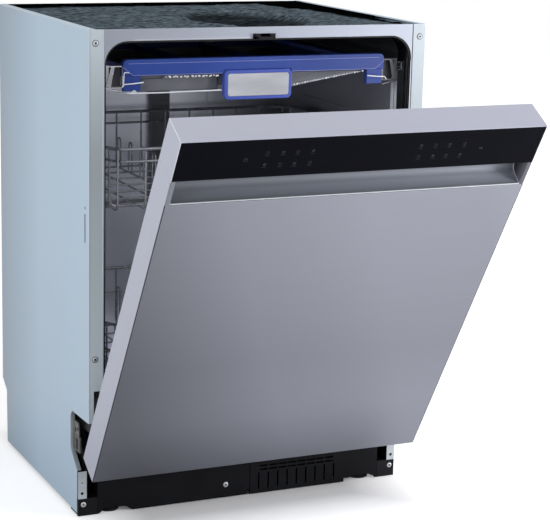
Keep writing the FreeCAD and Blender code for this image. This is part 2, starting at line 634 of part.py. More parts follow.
def rounded(name, x, y, z, top, bottom):
    """A bar along Y with rounded upper and lower corners."""
    corners = [(x[0], z[0]), (x[1], z[0]), (x[1], z[1]), (x[0], z[1])]
    body = slab(name, "XZ_Plane", corners, y)
    doc.recompute()
    middle = (number(z[0]) + number(z[1])) / 2
    for part, radius, upper in (("top", top, True), ("bottom", bottom, False)):
        if radius is None:
            continue
        base = body.Tip
        edges = [
            "Edge%d" % (index + 1)
            for index, edge in enumerate(base.Shape.Edges)
            if is_corner(edge) and (edge.CenterOfMass.z > middle) == upper
        ]
        fillet = body.newObject("PartDesign::Fillet", "%s_%s_corners" % (name, part))
        fillet.Base = (base, edges)
        fillet.setExpression("Radius", full(radius))
        doc.recompute()
    return body


def is_corner(edge):
    """Whether an edge is straight and runs along Y."""
    straight = isinstance(edge.Curve, Part.Line)
    return straight and abs(edge.Curve.Direction.y) > 0.999


def fuse(name, *pieces):
    """One solid from several blocks."""
    whole = doc.addObject("Part::MultiFuse", name)
    whole.Shapes = list(pieces)
    whole.Refine = True
    return whole


def cut(name, base, *tools):
    """A piece less its cut-outs."""
    result = doc.addObject("Part::Cut", name)
    result.Base = base
    result.Tool = tools[0] if len(tools) == 1 else fuse(name + "_cuts", *tools)
    return result


def node(name, *pieces):
    """A named sub-part of one solid or of several separate ones."""
    group = doc.addObject("Part::Compound", name)
    group.Links = list(pieces)
    group.Label = name
    nodes.append(group)
    return group


def door_node(name, *pieces):
    """A sub-part drawn on the shut door and swung with it about the hinge pins."""
    group = node(name, *pieces)
    group.Placement = Placement(Vector(), Rotation(Vector(1, 0, 0), number("door_angle")))
    group.setExpression(".Placement.Rotation.Angle", full("door_angle"))
    group.setExpression(".Placement.Base.y", full("swing_y"))
    group.setExpression(".Placement.Base.z", full("swing_z"))
    return group


# Cabinet

def side_panel(side, sign):
    """Folded side sheet with its hinge notch, rear step, slots and screw holes."""
    name = "side_panel_" + side
    outline = [
        ("0", "height"), ("0", "notch_top"), ("notch_depth - 8", "notch_top - 2"),
        ("notch_depth", "notch_high"), ("notch_depth", "notch_low"),
        ("sheet_setback", "notch_foot"), ("sheet_setback", "sheet_low"),
        ("side_depth - step_depth - 2", "sheet_low"), ("side_depth - step_depth", "step_low"),
        ("side_depth", "step_top"), ("side_depth", "height"),
    ]
    web = slab(name + "_web", "YZ_Plane", outline, mirrored(sign, "skin_in", "half"))
    front = box(name + "_front", mirrored(sign, "half - flange", "skin_in"),
                ("0", "sheet"), ("notch_top", "height"))
    top = box(name + "_top", mirrored(sign, "half - top_flange", "skin_in"),
              ("sheet", "side_depth"), ("height - sheet", "height"))
    rear = box(name + "_rear", mirrored(sign, "half - rear_flange", "skin_in"),
               ("side_depth - sheet", "side_depth"), ("step_top", "height - sheet"))
    slot = box(name + "_slot",
               mirrored(sign, "half - slot_side - slot_width", "half - slot_side"),
               ("-1", "2 * sheet"), ("slot_low", "slot_low + slot_length"))
    key_x = mirrored(sign, "skin_in - 1", "half + 1")
    key = rod(name + "_key", "x", "key_radius", key_x, y="key_y", z="key_z")
    key_slot = box(name + "_key_slot", key_x, ("key_y - key_radius", "key_y + key_radius"),
                   ("key_z - key_radius - key_land - key_slot", "key_z - key_radius - key_land"))
    holes = [
        rod(name + "_hole_" + level, "y", "screw_radius + running", ("-1", "2 * sheet"),
            x="%d * flange_screw_x" % sign, z="flange_screw_" + level)
        for level in ("high", "low")
    ]
    sheet = fuse(name + "_sheet", web, front, top, rear)
    node(name, cut(name + "_cut", sheet, slot, key, key_slot, *holes))


def tub():
    """Steel tub with its front frame, sump opening and salt opening."""
    outer = rounded("tub_outer", both("tub_out"), ("0", "tub_depth + sheet"),
                    ("tub_under", "tub_top + sheet"), "tub_corner + sheet", "tub_crease + sheet")
    inner = rounded("tub_inner", both("tub_half"), ("-5", "tub_depth"),
                    ("tub_floor", "tub_top"), "tub_corner", "tub_crease")
    frame = box("tub_frame", both("half - flange"), ("0", "sheet"),
                ("tub_floor - frame_drop", "height"))
    sump_hole = rod("tub_sump_hole", "z", "sump_radius", ("tub_under - 5", "tub_floor + 1"),
                    x="0", y="centre_y")
    salt_hole = rod("tub_salt_hole", "z", "neck_radius + play",
                    ("tub_under - 5", "tub_floor + 1"), x="salt_x", y="salt_y")
    node("tub", cut("tub_cut", fuse("tub_shell", outer, frame), inner, sump_hole, salt_hole))


def insulation():
    """Top mat on the tub and one pad on each of its sides."""
    node("top_insulation", box("top_mat", both("half - top_flange"), ("2 * sheet", "side_depth - 5"),
                               ("tub_top + sheet", "height - mat_gap")))
    pads = [
        box("side_pad_" + side, mirrored(sign, "tub_out", "tub_out + pad_thick"),
            ("pad_front", "pad_back"), ("pad_low", "pad_top"))
        for side, sign in BOTH_SIDES
    ]
    node("side_insulation", *pads)


def rear_cover():
    """Rear sheet with the ledge along its top."""
    back = box("rear_sheet", both("half - 3"), ("side_depth", "side_depth + 2"),
               ("step_top + 8", "height - 2"))
    ledge = box("rear_ledge", both("half - 12"), ("side_depth + 2", "side_depth + ledge_depth"),
                ("height - 14", "height - 2"))
    node("rear_cover", fuse("rear_cover_whole", back, ledge))


def base_tray():
    """Open base tray that carries the tub, with the bosses of the feet and the wall holes."""
    main = box("base_main", both("skin_in"), ("base_front", "base_back"), ("base_low", "tub_under"))
    tongue = box("base_tongue", both("tongue_half"), ("tongue_front", "base_front + base_wall"),
                 ("base_low", "tub_under"))
    room = box("base_room", both("skin_in - base_wall"),
               ("base_front + base_wall", "base_back - base_wall"), ("base_floor", "tub_under + 5"))
    tongue_room = box("base_tongue_room", both("tongue_half - base_wall"),
                      ("tongue_front + base_wall", "base_front + 2 * base_wall"),
                      ("base_floor", "tub_under + 5"))
    bosses = []
    bores = []
    for place, x, y in (("rear", "0", "rear_foot_y"), ("left", "-foot_x", "foot_y"),
                        ("right", "foot_x", "foot_y")):
        bosses.append(rod("base_boss_" + place, "z", "boss_radius", ("base_low", "boss_top"), x=x, y=y))
        bores.append(rod("base_bore_" + place, "z", "stem_radius + running", ("0", "boss_top + 1"),
                         x=x, y=y))
    wall = ("base_back - 2 * base_wall", "base_back + 1")
    inlet = rod("base_inlet_hole", "y", "thread_radius + spigot_play", wall,
                x="inlet_x", z="inlet_z")
    drain = rod("base_drain_hole", "y", "spigot_radius + spigot_play", wall,
                x="drain_x", z="drain_z")
    shell = cut("base_shell", fuse("base_block", main, tongue), room, tongue_room)
    node("base_tray", cut("base_cut", fuse("base_whole", shell, *bosses), *bores, inlet, drain))


def plinth():
    """Plinth panel with its end returns, lower notches and the ribbed grille."""
    face = box("plinth_face", both("tongue_half - plinth_gap"), ("plinth_front", "plinth_back"),
               ("plinth_low", "plinth_top"))
    returns = [
        box("plinth_return_" + side,
            mirrored(sign, "tongue_half - plinth_gap - plinth_thick", "tongue_half - plinth_gap"),
            ("plinth_back", "tongue_front"), ("plinth_low + 6", "plinth_top"))
        for side, sign in BOTH_SIDES
    ]
    window = box("plinth_window", ("vent_left", "vent_right"),
                 ("plinth_front - 1", "plinth_back + 1"), ("0", "vent_top"))
    through = ("plinth_front - 1", "plinth_back + 1")
    notches = [box("plinth_seam", ("vent_left - seam_width", "vent_left + 1"), through,
                   ("0", "plinth_low + notch_rise"))]
    for side, sign in BOTH_SIDES:
        x = "%d * (tongue_half - notch_inset" % sign
        outline = [
            (x + ")", "-1"), (x + ")", "plinth_low + notch_rise"),
            (x + " - notch_width)", "plinth_low + notch_rise"),
            (x + " - notch_width - notch_slope)", "-1"),
        ]
        notches.append(slab("plinth_notch_" + side, "XZ_Plane", outline, through))
    hole = rod("plinth_hole", "y", "screw_radius + running", ("plinth_front - 1", "plinth_back + 1"),
               x="plinth_screw_x", z="plinth_screw_z")
    node("plinth_panel", cut("plinth_cut", fuse("plinth_whole", face, *returns),
                             window, hole, *notches))
    plate = box("grille_plate", ("vent_left", "vent_right"),
                ("plinth_front - vent_proud", "plinth_back"), ("plinth_low", "vent_top"))
    count = int(number("vent_right - vent_left - 2 * vent_inset - vent_slot") // number("vent_pitch")) + 1
    deep = ("plinth_front - vent_proud - 1", "plinth_back + 1")
    slots = [
        box("grille_slot_%d" % index,
            ("vent_left + vent_inset + %d * vent_pitch" % index,
             "vent_left + vent_inset + %d * vent_pitch + vent_slot" % index),
            deep, ("plinth_low + vent_sill", "vent_top - vent_band"))
        for index in range(count)
    ]
    for index in range(count - 1):
        cell = ("vent_left + vent_inset + %d * vent_pitch + vent_slot" % index,
                "vent_left + vent_inset + %d * vent_pitch" % (index + 1))
        slots.append(box("grille_low_louvre_%d" % index, cell, deep,
                         ("louvre_low", "louvre_low + louvre_rise")))
        slots.append(box("grille_high_louvre_%d" % index, cell, deep,
                         ("louvre_high", "louvre_high + louvre_rise")))
    node("plinth_grille", cut("grille_cut", plate, *slots))


def end_blocks():
    """Base end blocks beside the plinth."""
    blocks = []
    for side, sign in BOTH_SIDES:
        name = "end_block_" + side
        rear = box(name + "_rear", mirrored(sign, "tongue_half", "skin_in"),
                   ("sheet_setback", "base_front"), ("block_low", "block_top"))
        front = box(name + "_front", mirrored(sign, "tongue_half", "half"),
                    ("plinth_front", "sheet_setback"), ("block_low", "block_top"))
        hole = rod(name + "_hole", "y", "screw_radius + running",
                   ("plinth_front - 1", "plinth_front + screw_length + 0.1"),
                   x="%d * block_screw_x" % sign, z="block_screw_z")
        blocks.append(cut(name, fuse(name + "_whole", rear, front), hole))
    node("base_end_blocks", *blocks)


def foot(name, x, y):
    """Levelling foot: pad and stem."""
    pad = rod(name + "_pad", "z", "foot_radius", ("0", "base_low - play"), x=x, y=y)
    stem = rod(name + "_stem", "z", "stem_radius", ("base_low - play", "stem_top"), x=x, y=y)
    node(name, fuse(name + "_whole", pad, stem))


def screw(name, x, face, z):
    """Pan-head screw driven along +Y into a face."""
    head = rod(name + "_head", "y", "head_radius", ("%s - head_thick" % face, face), x=x, z=z)
    shank = rod(name + "_shank", "y", "screw_radius", (face, "%s + screw_length" % face), x=x, z=z)
    return fuse(name, head, shank)


def screws():
    """Screws of the front flanges, the end blocks and the plinth, all alike."""
    places_of = [("plinth_screw", "plinth_screw_x", "plinth_front", "plinth_screw_z")]
    for side, sign in BOTH_SIDES:
        places_of.append(("block_screw_" + side, "%d * block_screw_x" % sign, "plinth_front",
                          "block_screw_z"))
        for level in ("high", "low"):
            places_of.append(("flange_screw_%s_%s" % (side, level), "%d * flange_screw_x" % sign,
                              "0", "flange_screw_" + level))
    node("panel_screws", *[screw(*place) for place in places_of])


def hinge_brackets():
    """Steel brackets on the base with the hinge pins and the front strips."""
    pieces = []
    for side, sign in BOTH_SIDES:
        name = "hinge_bracket_" + side
        strip_back = "plinth_front + strip_thick"
        outline = [
            ("hinge_y - bracket_half", "hinge_z - bracket_half"),
            ("bracket_leg", "hinge_z - bracket_half"), ("bracket_leg", "bracket_foot"),
            (strip_back, "bracket_foot"), (strip_back, "block_top"), ("base_front", "block_top"),
            ("base_front", "hinge_z + bracket_half"),
            ("hinge_y - bracket_half", "hinge_z + bracket_half"),
        ]
        plate = slab(name + "_plate", "YZ_Plane", outline,
                     mirrored(sign, "bracket_x", "bracket_x + bracket_thick"))
        strip = box(name + "_strip", mirrored(sign, "bracket_x", "half"),
                    ("plinth_front", strip_back), ("block_top", "strip_top"))
        pin = rod(name + "_pin", "x", "pin_radius", mirrored(sign, "pin_end", "bracket_x"),
                  y="hinge_y", z="hinge_z")
        through = ("plinth_front - 1", "plinth_front + strip_thick + 1")
        hole = rod(name + "_hole", "y", "strip_hole", through,
                   x="%d * strip_hole_x" % sign, z="strip_hole_z")
        mark = rod(name + "_mark", "y", "strip_mark", through,
                   x="%d * strip_hole_x" % sign, z="strip_mark_z")
        pieces.append(cut(name, fuse(name + "_whole", plate, strip, pin), hole, mark))
    node("hinge_brackets", *pieces)


def door_springs():
    """Counterbalance springs in the base, each a coil with its two end rods."""
    springs = []
    for side, sign in BOTH_SIDES:
        name = "door_spring_" + side
        x = "%d * spring_x" % sign
        coil = rod(name + "_coil", "y", "spring_radius", ("spring_front", "spring_back"),
                   x=x, z="spring_z")
        front = rod(name + "_front", "y", "hook_radius", ("base_front + base_wall", "spring_front"),
                    x=x, z="spring_z")
        rear = rod(name + "_rear", "y", "hook_radius", ("spring_back", "base_back - base_wall"),
                   x=x, z="spring_z")
        springs.append(fuse(name, coil, front, rear))
    node("door_springs", *springs)


def door_gasket():
    """Rubber profile along the sides and top of the tub opening."""
    span = ("gasket_front", "gasket_front + gasket_depth")
    outer = rounded("gasket_outer", both("tub_half"), span, ("tub_floor", "tub_top"),
                    "tub_corner", None)
    inner = rounded("gasket_inner", both("tub_half - gasket_thick"),
                    ("gasket_front - 1", "gasket_front + gasket_depth + 1"),
                    ("tub_floor - 1", "tub_top - gasket_thick"), "tub_corner - gasket_thick", None)
    low = box("gasket_low_cut", both("tub_half + 1"),
              ("gasket_front - 1", "gasket_front + gasket_depth + 1"),
              ("tub_floor - 1", "tub_floor + gasket_low"))
    node("door_gasket", cut("gasket_cut", cut("gasket_ring", outer, inner), low))


def latch_striker():
    """Striker on the front frame that the door latch grips."""
    plate = box("striker_base", both("striker_width / 2"), ("-(striker_plate)", "0"),
                ("striker_low", "striker_top"))
    hook = box("striker_tongue", both("striker_hook / 2"), ("-(striker_reach)", "-(striker_plate)"),
               ("striker_low", "striker_low + 4"))
    lugs = [
        box("striker_lug_" + side,
            mirrored(sign, "striker_width / 2 - striker_lug - 2", "striker_width / 2 - 2"),
            ("-(striker_reach - 3)", "-(striker_plate)"), ("striker_low + 4", "striker_top - 1"))
        for side, sign in BOTH_SIDES
    ]
    node("latch_striker", fuse("striker_whole", plate, hook, *lugs))


# Water side

def sump():
    """Sump cup under the tub floor, with the lower spray arm's post."""
    centre = {"x": "0", "y": "centre_y"}
    rim = rod("sump_rim_disc", "z", "sump_rim", ("tub_under - sump_rim_thick", "tub_under"), **centre)
    cup = rod("sump_cup", "z", "sump_radius", ("sump_low", "tub_under"), **centre)
    room = rod("sump_room", "z", "sump_radius - sump_wall",
               ("sump_low + sump_wall", "tub_under + 1"), **centre)
    ledge = rod("sump_ledge_disc", "z", "sump_radius - sump_wall",
                ("plate_top - plate_thick - 4", "plate_top - plate_thick"), **centre)
    ledge_room = rod("sump_ledge_room", "z", "sump_radius - 2 * sump_wall",
                     ("sump_low + sump_wall", "tub_under + 1"), **centre)
    post = rod("sump_post", "z", "post_radius", ("sump_low", "post_shoulder"), **centre)
    pin = rod("sump_pin", "z", "post_pin", ("post_shoulder", "post_top"), **centre)
    cup_shell = cut("sump_shell", fuse("sump_body", rim, cup), room)
    ledge_ring = cut("sump_ledge", ledge, ledge_room)
    node("sump", fuse("sump_whole", cup_shell, ledge_ring, post, pin))


def filters():
    """Filter plate in the sump and the filter cylinder that locks into it."""
    centre = {"x": "0", "y": "centre_y"}
    spot = {"x": "filter_x", "y": "filter_y"}
    span = ("plate_top - plate_thick", "plate_top")
    through = ("plate_top - plate_thick - 1", "plate_top + 1")
    plate = rod("filter_disc", "z", "sump_radius - sump_wall - play", span, **centre)
    post_hole = rod("filter_post_hole", "z", "post_radius + play", through, **centre)
    hole = rod("filter_hole_cut", "z", "filter_hole", through, **spot)
    node("filter_plate", cut("filter_plate_cut", plate, post_hole, hole))
    seat = "plate_top + play"
    tube = rod("filter_tube", "z", "filter_hole - play", ("filter_low", seat), **spot)
    flange = rod("filter_flange_disc", "z", "filter_flange", (seat, seat + " + filter_rim"), **spot)
    grip = box("filter_handle", ("filter_x - 18", "filter_x + 18"), ("filter_y - 2", "filter_y + 2"),
               (seat + " + filter_rim", seat + " + filter_rim + filter_grip"))
    node("filter_cylinder", fuse("filter_whole", tube, flange, grip))


def pumps():
    """Circulation pump under the sump and drain pump at the rear wall."""
    motor = rod("pump_motor", "x", "pump_radius", ("pump_left", "pump_right"),
                y="centre_y", z="pump_z")
    port = rod("pump_riser", "z", "pump_port", ("pump_z", "sump_low"), x="pump_port_x", y="centre_y")
    node("circulation_pump", fuse("pump_whole", motor, port))
    drain = rod("drain_motor", "y", "drain_radius", ("drain_front", "drain_back"),
                x="drain_x", z="drain_z")
    neck = rod("drain_neck", "y", "spigot_radius - neck_step", ("drain_back", "base_back + collar"),
               x="drain_x", z="drain_z")
    spigot = rod("drain_spigot", "y", "spigot_radius", ("base_back + collar", "base_back + spigot_out"),
                 x="drain_x", z="drain_z")
    node("drain_pump", fuse("drain_whole", drain, neck, spigot))


def inlet_valve():
    """Inlet valve inside the rear wall, with its threaded end outside."""
    wall = "base_back - base_wall"
    block = box("inlet_block", ("inlet_x - inlet_half", "inlet_x + inlet_half"),
                (wall + " - inlet_length", wall), ("inlet_z - inlet_half", "inlet_z + inlet_half"))
    neck = rod("inlet_neck", "y", "thread_radius - neck_step", (wall, "base_back + collar"),
               x="inlet_x", z="inlet_z")
    thread = rod("inlet_thread", "y", "thread_radius", ("base_back + collar", "base_back + spigot_out"),
                 x="inlet_x", z="inlet_z")
    node("inlet_valve", fuse("inlet_whole", block, neck, thread))


def power_inlet():
    """Appliance inlet on the rear wall of the base tray, open to the back."""
    x = ("socket_x - socket_width / 2", "socket_x + socket_width / 2")
    z = ("inlet_z - socket_height / 2", "inlet_z + socket_height / 2")
    block = box("socket_block", x, ("base_back", "base_back + socket_depth"), z)
    room = box("socket_room", (x[0] + " + socket_wall", x[1] + " - socket_wall"),
               ("base_back + socket_wall", "base_back + socket_depth + 1"),
               (z[0] + " + socket_wall", z[1] + " - socket_wall"))
    node("power_inlet", cut("socket_cut", block, room))


def softener():
    """Water softener with its filler neck, and the salt cap in the tub."""
    spot = {"x": "salt_x", "y": "salt_y"}
    tank = box("softener_tank", ("soft_left", "soft_right"), ("soft_front", "soft_back"),
               ("base_floor", "soft_top"))
    neck = rod("softener_neck", "z", "neck_radius", ("soft_top", "neck_top"), **spot)
    node("water_softener", fuse("softener_whole", tank, neck))
    seat = "neck_top + play"
    disc = rod("salt_disc_cap", "z", "salt_radius", (seat, seat + " + salt_disc"), **spot)
    grip = box("salt_grip_bar", ("salt_x - 26", "salt_x + 26"), ("salt_y - 4", "salt_y + 4"),
               (seat + " + salt_disc", seat + " + salt_disc + salt_grip"))
    node("salt_cap", fuse("salt_whole", disc, grip))


def air_break():
    """Flat air break chamber between the left side sheet and its pad."""
    node("air_break", box("air_break_tank", mirrored(-1, "tub_out + pad_thick", "skin_in"),
                          ("break_front", "break_back"), ("break_low", "break_top")))


def feed_pipe():
    """Rear duct, ceiling duct and the pin of the ceiling spray arm."""
    rear = box("duct_rear", both("duct_half"), ("duct_front", "tub_depth"), ("tub_floor", "tub_top"))
    roof = box("duct_roof", both("roof_half"), ("centre_y - roof_half", "duct_front"),
               ("roof_low", "tub_top"))
    hub = rod("duct_hub", "z", "hub_radius", ("roof_hub_low", "roof_low"), x="0", y="centre_y")
    pin = rod("duct_pin", "z", "arm_pin", ("roof_hub_low - arm_pin_length", "roof_hub_low"),
              x="0", y="centre_y")
    node("feed_pipe", fuse("duct_whole", rear, roof, hub, pin))


def spray_arm(name, sizes, y, low, thick, bore_span):
    """Spray arm: hub with its bore and two blades with round ends."""
    hub_radius, half_width, reach, pin = sizes
    centre = {"x": "0", "y": y}
    span = (low + " + blade_lift", low + " + blade_lift + blade_thick")
    hub = rod(name + "_hub", "z", hub_radius, (low, "%s + %s" % (low, thick)), **centre)
    blade = box(name + "_blade", both(reach), ("%s - %s" % (y, half_width), "%s + %s" % (y, half_width)),
                span)
    ends = [
        rod(name + "_end_" + side, "z", half_width, span, x="%d * %s" % (sign, reach), y=y)
        for side, sign in BOTH_SIDES
    ]
    bore = rod(name + "_bore", "z", pin + " + running", bore_span, **centre)
    node(name, cut(name + "_cut", fuse(name + "_whole", hub, blade, *ends), bore))


def spray_arms():
    """The lower arm on its post and the two arms that hang on pins."""
    low = "post_shoulder + play"
    spray_arm("lower_spray_arm", ("lower_hub", "lower_blade", "lower_reach", "post_pin"),
              "centre_y", low, "lower_hub_thick", (low + " - 1", "post_top + 2 * play"))
    hub = "pipe_hub_low - play - arm_hub_thick"
    spray_arm("upper_spray_arm", ("arm_hub", "upper_blade", "upper_reach", "arm_pin"),
              "pipe_axis_y", hub, "arm_hub_thick",
              ("pipe_hub_low - arm_pin_length - 2 * play", "pipe_hub_low"))
    hub = "roof_hub_low - play - arm_hub_thick"
    spray_arm("ceiling_spray_arm", ("arm_hub", "ceiling_blade", "ceiling_reach", "arm_pin"),
              "centre_y", hub, "arm_hub_thick",
              ("roof_hub_low - arm_pin_length - 2 * play", "roof_hub_low"))


# Rails and cutlery tray

def rail(name, sign, middle, half_slot):
    """C-shaped rail on a tub wall, open towards the middle of the tub."""
    run = ("rail_front", "rail_back")
    low = "%s - %s" % (middle, half_slot)
    high = "%s + %s" % (middle, half_slot)
    x = mirrored(sign, "rail_in", "tub_half")
    bar = box(name + "_bar", x, run, (low + " - rail_web", high + " + rail_web"))
    slot = box(name + "_slot", mirrored(sign, "rail_in - 1", "tub_half - rail_web"),
               ("rail_front - 1", "rail_back + 1"), (low, high))
    return cut(name, bar, slot)


def rails():
    """Rails of the cutlery tray and of the upper basket."""
    tray = [
        rail("tray_rail_" + side, sign, "(tray_low + tray_thick / 2)", "(tray_thick / 2 + slide_play)")
        for side, sign in BOTH_SIDES
    ]
    node("tray_rails", *tray)
    basket = [
        rail("basket_rail_" + side, sign, "roller_z", "(roller_radius + play)")
        for side, sign in BOTH_SIDES
    ]
    node("basket_rails", *basket)


def cutlery_tray():
    """Tray frame with its runners and ribs, and the troughs hung under the ribs."""
    level = ("tray_low", "tray_top")
    ring = box("tray_ring", both("tray_half"), ("tray_front", "tray_back"), level)
    room = box("tray_room", both("tray_half - tray_rib"),
               ("tray_front + tray_rib", "tray_back - tray_rib"),
               ("tray_low - 1", "tray_top + 1"))
    extras = []
    for side, sign in BOTH_SIDES:
        extras.append(box("tray_runner_" + side, mirrored(sign, "tray_half", "runner_edge"),
                          ("runner_front", "runner_back"), level))
        for place in ("rib_outer", "rib_inner"):
            x = mirrored(sign, place + " - rib_width / 2", place + " + rib_width / 2")
            extras.append(box("tray_%s_%s" % (place, side), x,
                              ("tray_front + tray_rib", "tray_back - tray_rib"), level))
    frame = cut("tray_open_ring", ring, room)
    node("cutlery_tray_frame", fuse("tray_frame_whole", frame, *extras))
    node("tray_troughs", *troughs())


def troughs():
    """Left, middle and sloping right trough, from thin plates."""
    run = ("trough_front", "trough_back")
    inner = ("rib_inner - skin / 2", "rib_inner + skin / 2")
    outer = ("rib_outer - skin / 2", "rib_outer + skin / 2")
    top = "tray_low"
    plates = [
        box("trough_left_floor", mirrored(-1, inner[0], outer[1]), run,
            ("trough_low", "trough_low + skin")),
        box("trough_left_wall", mirrored(-1, *outer), run, ("trough_low + skin", top)),
        box("trough_left_web", mirrored(-1, *inner), run, ("trough_low + skin", top)),
        box("trough_right_web", inner, run, ("trough_low", top)),
        box("trough_middle_floor", both(inner[0]), run, ("middle_low", "middle_low + skin")),
    ]
    slope = [(inner[1], "trough_low"), (outer[1], top + " - skin"), (outer[1], top),
             (inner[1], "trough_low + skin")]
    wedge = [(inner[1], "trough_low + skin"), (outer[1], top), (inner[1], top)]
    plates.append(slab("trough_right_floor", "XZ_Plane", slope, run))
    ends = (("front", ("trough_front", "trough_front + skin")),
            ("rear", ("trough_back - skin", "trough_back")))
    for place, y in ends:
        plates.append(box("trough_left_" + place, mirrored(-1, inner[1], outer[0]), y,
                          ("trough_low + skin", top)))
        plates.append(box("trough_middle_" + place, both(inner[0]), y,
                          ("middle_low + skin", top)))
        plates.append(slab("trough_right_" + place, "XZ_Plane", wedge, y))
    return plates


def tray_front():
    """Front bar with end tabs and handle rim, and the insert in the handle."""
    bar = rounded("bar_body", both("bar_half"), ("bar_front", "tray_front"),
                  ("bar_low", "bar_top"), "bar_round", None)
    tabs = [
        box("bar_tab_" + side, mirrored(sign, "tab_inner", "tab_outer"),
            ("bar_front + tab_setback", "tray_front"), ("tab_low", "bar_low"))
        for side, sign in BOTH_SIDES
    ]
    rim = rounded("bar_handle", both("handle_half"),
                  ("handle_front", "handle_front + handle_thick"),
                  ("handle_low", "handle_top"), "bar_round", "bar_round")
    level = ("handle_low + insert_margin", "handle_top - insert_margin")
    pocket = rounded("bar_pocket", both("insert_half"),
                     ("handle_front - 2", "handle_front + insert_depth"), level,
                     "bar_round / 2", "bar_round / 2")
    node("tray_front_bar", cut("bar_cut", fuse("bar_whole", bar, rim, *tabs), pocket))
    node("tray_handle", rounded("handle_insert", both("insert_half"),
                                ("handle_front - insert_proud", "handle_front + insert_depth"),
                                level, "bar_round / 2", "bar_round / 2"))


# Baskets

def steps(first, last, pitch):
    """Evenly spaced places from first to last, as near the pitch as they divide."""
    gaps = max(1, round(number("(%s - %s) / %s" % (last, first, pitch))))
    return ["%s + (%s - (%s)) * %d / %d" % (first, last, first, index, gaps)
            for index in range(gaps + 1)]


def hoop(name, radius, z, front, inset):
    """Rail around a basket: front and rear wire across, side wires between them."""
    half = "basket_half - (%s)" % inset
    first = "%s + (%s)" % (front, inset)
    last = "basket_back - (%s)" % inset
    wires = []
    for place, y in (("front", first), ("rear", last)):
        span = ("-(%s) - %s" % (half, radius), "%s + %s" % (half, radius))
        wires.append(rod("%s_%s" % (name, place), "x", radius, span, y=y, z=z))
    for side, sign in BOTH_SIDES:
        span = ("%s + %s" % (first, radius), "%s - %s" % (last, radius))
        wires.append(rod("%s_%s" % (name, side), "y", radius, span, x="%d * (%s)" % (sign, half), z=z))
    return wires


def cage(name, front, rim, second, floor, tine):
    """Wires of a basket: two rails, uprights, floor wires and two rows of tines."""
    cross_z = floor + " - wire"
    long_z = floor + " - 3 * wire"
    wires = hoop(name + "_rim", "rim_wire", rim, front, "0")
    wires += hoop(name + "_rail", "rail_wire", second, front, "rim_wire - rail_wire")
    rise = (floor, rim + " + rim_wire")
    along = steps(front + " + wire_margin", "basket_back - wire_margin", "wire_pitch")
    for index, y in enumerate(along):
        for side, sign in BOTH_SIDES:
            wires.append(rod("%s_upright_%s_%d" % (name, side, index), "z", "wire", rise,
                             x="%d * side_wire" % sign, y=y))
        wires.append(rod("%s_cross_%d" % (name, index), "x", "wire", both("side_wire + wire"),
                         y=y, z=cross_z))
        for side, sign in BOTH_SIDES:
            wires.append(rod("%s_tine_%s_%d" % (name, side, index), "z", "tine_wire",
                             (floor, "%s + %s" % (floor, tine)), x="%d * tine_x" % sign, y=y))
    for index, x in enumerate(steps("-2 * long_pitch", "2 * long_pitch", "long_pitch")):
        wires.append(rod("%s_long_%d" % (name, index), "y", "wire", (front, "basket_back"),
                         x=x, z=long_z))
    low = floor + " - 2 * wire"
    for index, x in enumerate(steps("-(side_wire - front_margin)", "side_wire - front_margin",
                                    "front_pitch")):
        for place, y in (("front", front + " + upright"), ("rear", "basket_back - upright")):
            wires.append(rod("%s_%s_%d" % (name, place, index), "z", "wire",
                             (low, rim + " + rim_wire"), x=x, y=y))
    return wires


def wheel_pair(name, radius, y, z, inner, outer):
    """Two wheels on one axle line."""
    wheels = []
    for side, sign in BOTH_SIDES:
        span = mirrored(sign, inner, outer)
        disc = rod("%s_%s_disc" % (name, side), "x", radius, span, y=y, z=z)
        bore = rod("%s_%s_bore" % (name, side), "x", "axle_radius + running", span, y=y, z=z)
        wheels.append(cut("%s_%s" % (name, side), disc, bore))
    node(name, *wheels)


def shelf_clips():
    """Places of the two shelf clips, each on an upright of the upper basket."""
    along = steps("basket_front + wire_margin", "basket_back - wire_margin", "wire_pitch")
    return along[1], along[-2]


def upper_basket():
    """Upper basket with roller brackets and shelf clips, and its rollers."""
    wires = cage("upper", "basket_front", "rim_z", "second_z", "floor_z", "tine_height")
    for side, sign in BOTH_SIDES:
        plate = box("upper_plate_" + side, mirrored(sign, "plate_in", "plate_out"),
                    ("roller_front - bracket_margin", "roller_back + bracket_margin"),
                    ("bracket_low", "rim_z + rim_wire"))
        axles = [
            rod("upper_axle_%s_%s" % (side, place), "x", "axle_radius",
                mirrored(sign, "plate_out", "axle_end"), y=place, z="roller_z")
            for place in ("roller_front", "roller_back")
        ]
        wires.append(fuse("upper_bracket_" + side, plate, *axles))
    for place, y in zip(("front", "rear"), shelf_clips()):
        run = (y + " - clip_length / 2", y + " + clip_length / 2")
        block = box("shelf_clip_%s_block" % place, ("-(side_wire - wire)", "shelf_x + clip_half"),
                    run, ("shelf_z - clip_half", "shelf_z + clip_half"))
        bore = rod("shelf_clip_%s_bore" % place, "y", "shelf_pin + running",
                   (run[0] + " - 1", run[1] + " + 1"), x="shelf_x", z="shelf_z")
        wires.append(cut("shelf_clip_" + place, block, bore))
    node("upper_basket", *wires)
    for place in ("front", "back"):
        name = "upper_rollers_front" if place == "front" else "upper_rollers_rear"
        wheel_pair(name, "roller_radius", "roller_" + place, "roller_z", "roller_inner", "axle_end")


def upper_feed():
    """Feed pipe under the upper basket with the pin of its spray arm."""
    pipe = rod("feed_tube", "y", "pipe_radius", ("pipe_axis_y", "duct_front - play"),
               x="0", z="pipe_z")
    hub = rod("feed_hub", "z", "hub_radius", ("pipe_hub_low", "pipe_z"), x="0", y="pipe_axis_y")
    pin = rod("feed_pin", "z", "arm_pin", ("pipe_hub_low - arm_pin_length", "pipe_hub_low"),
              x="0", y="pipe_axis_y")
    node("upper_feed_tube", fuse("feed_whole", pipe, hub, pin))


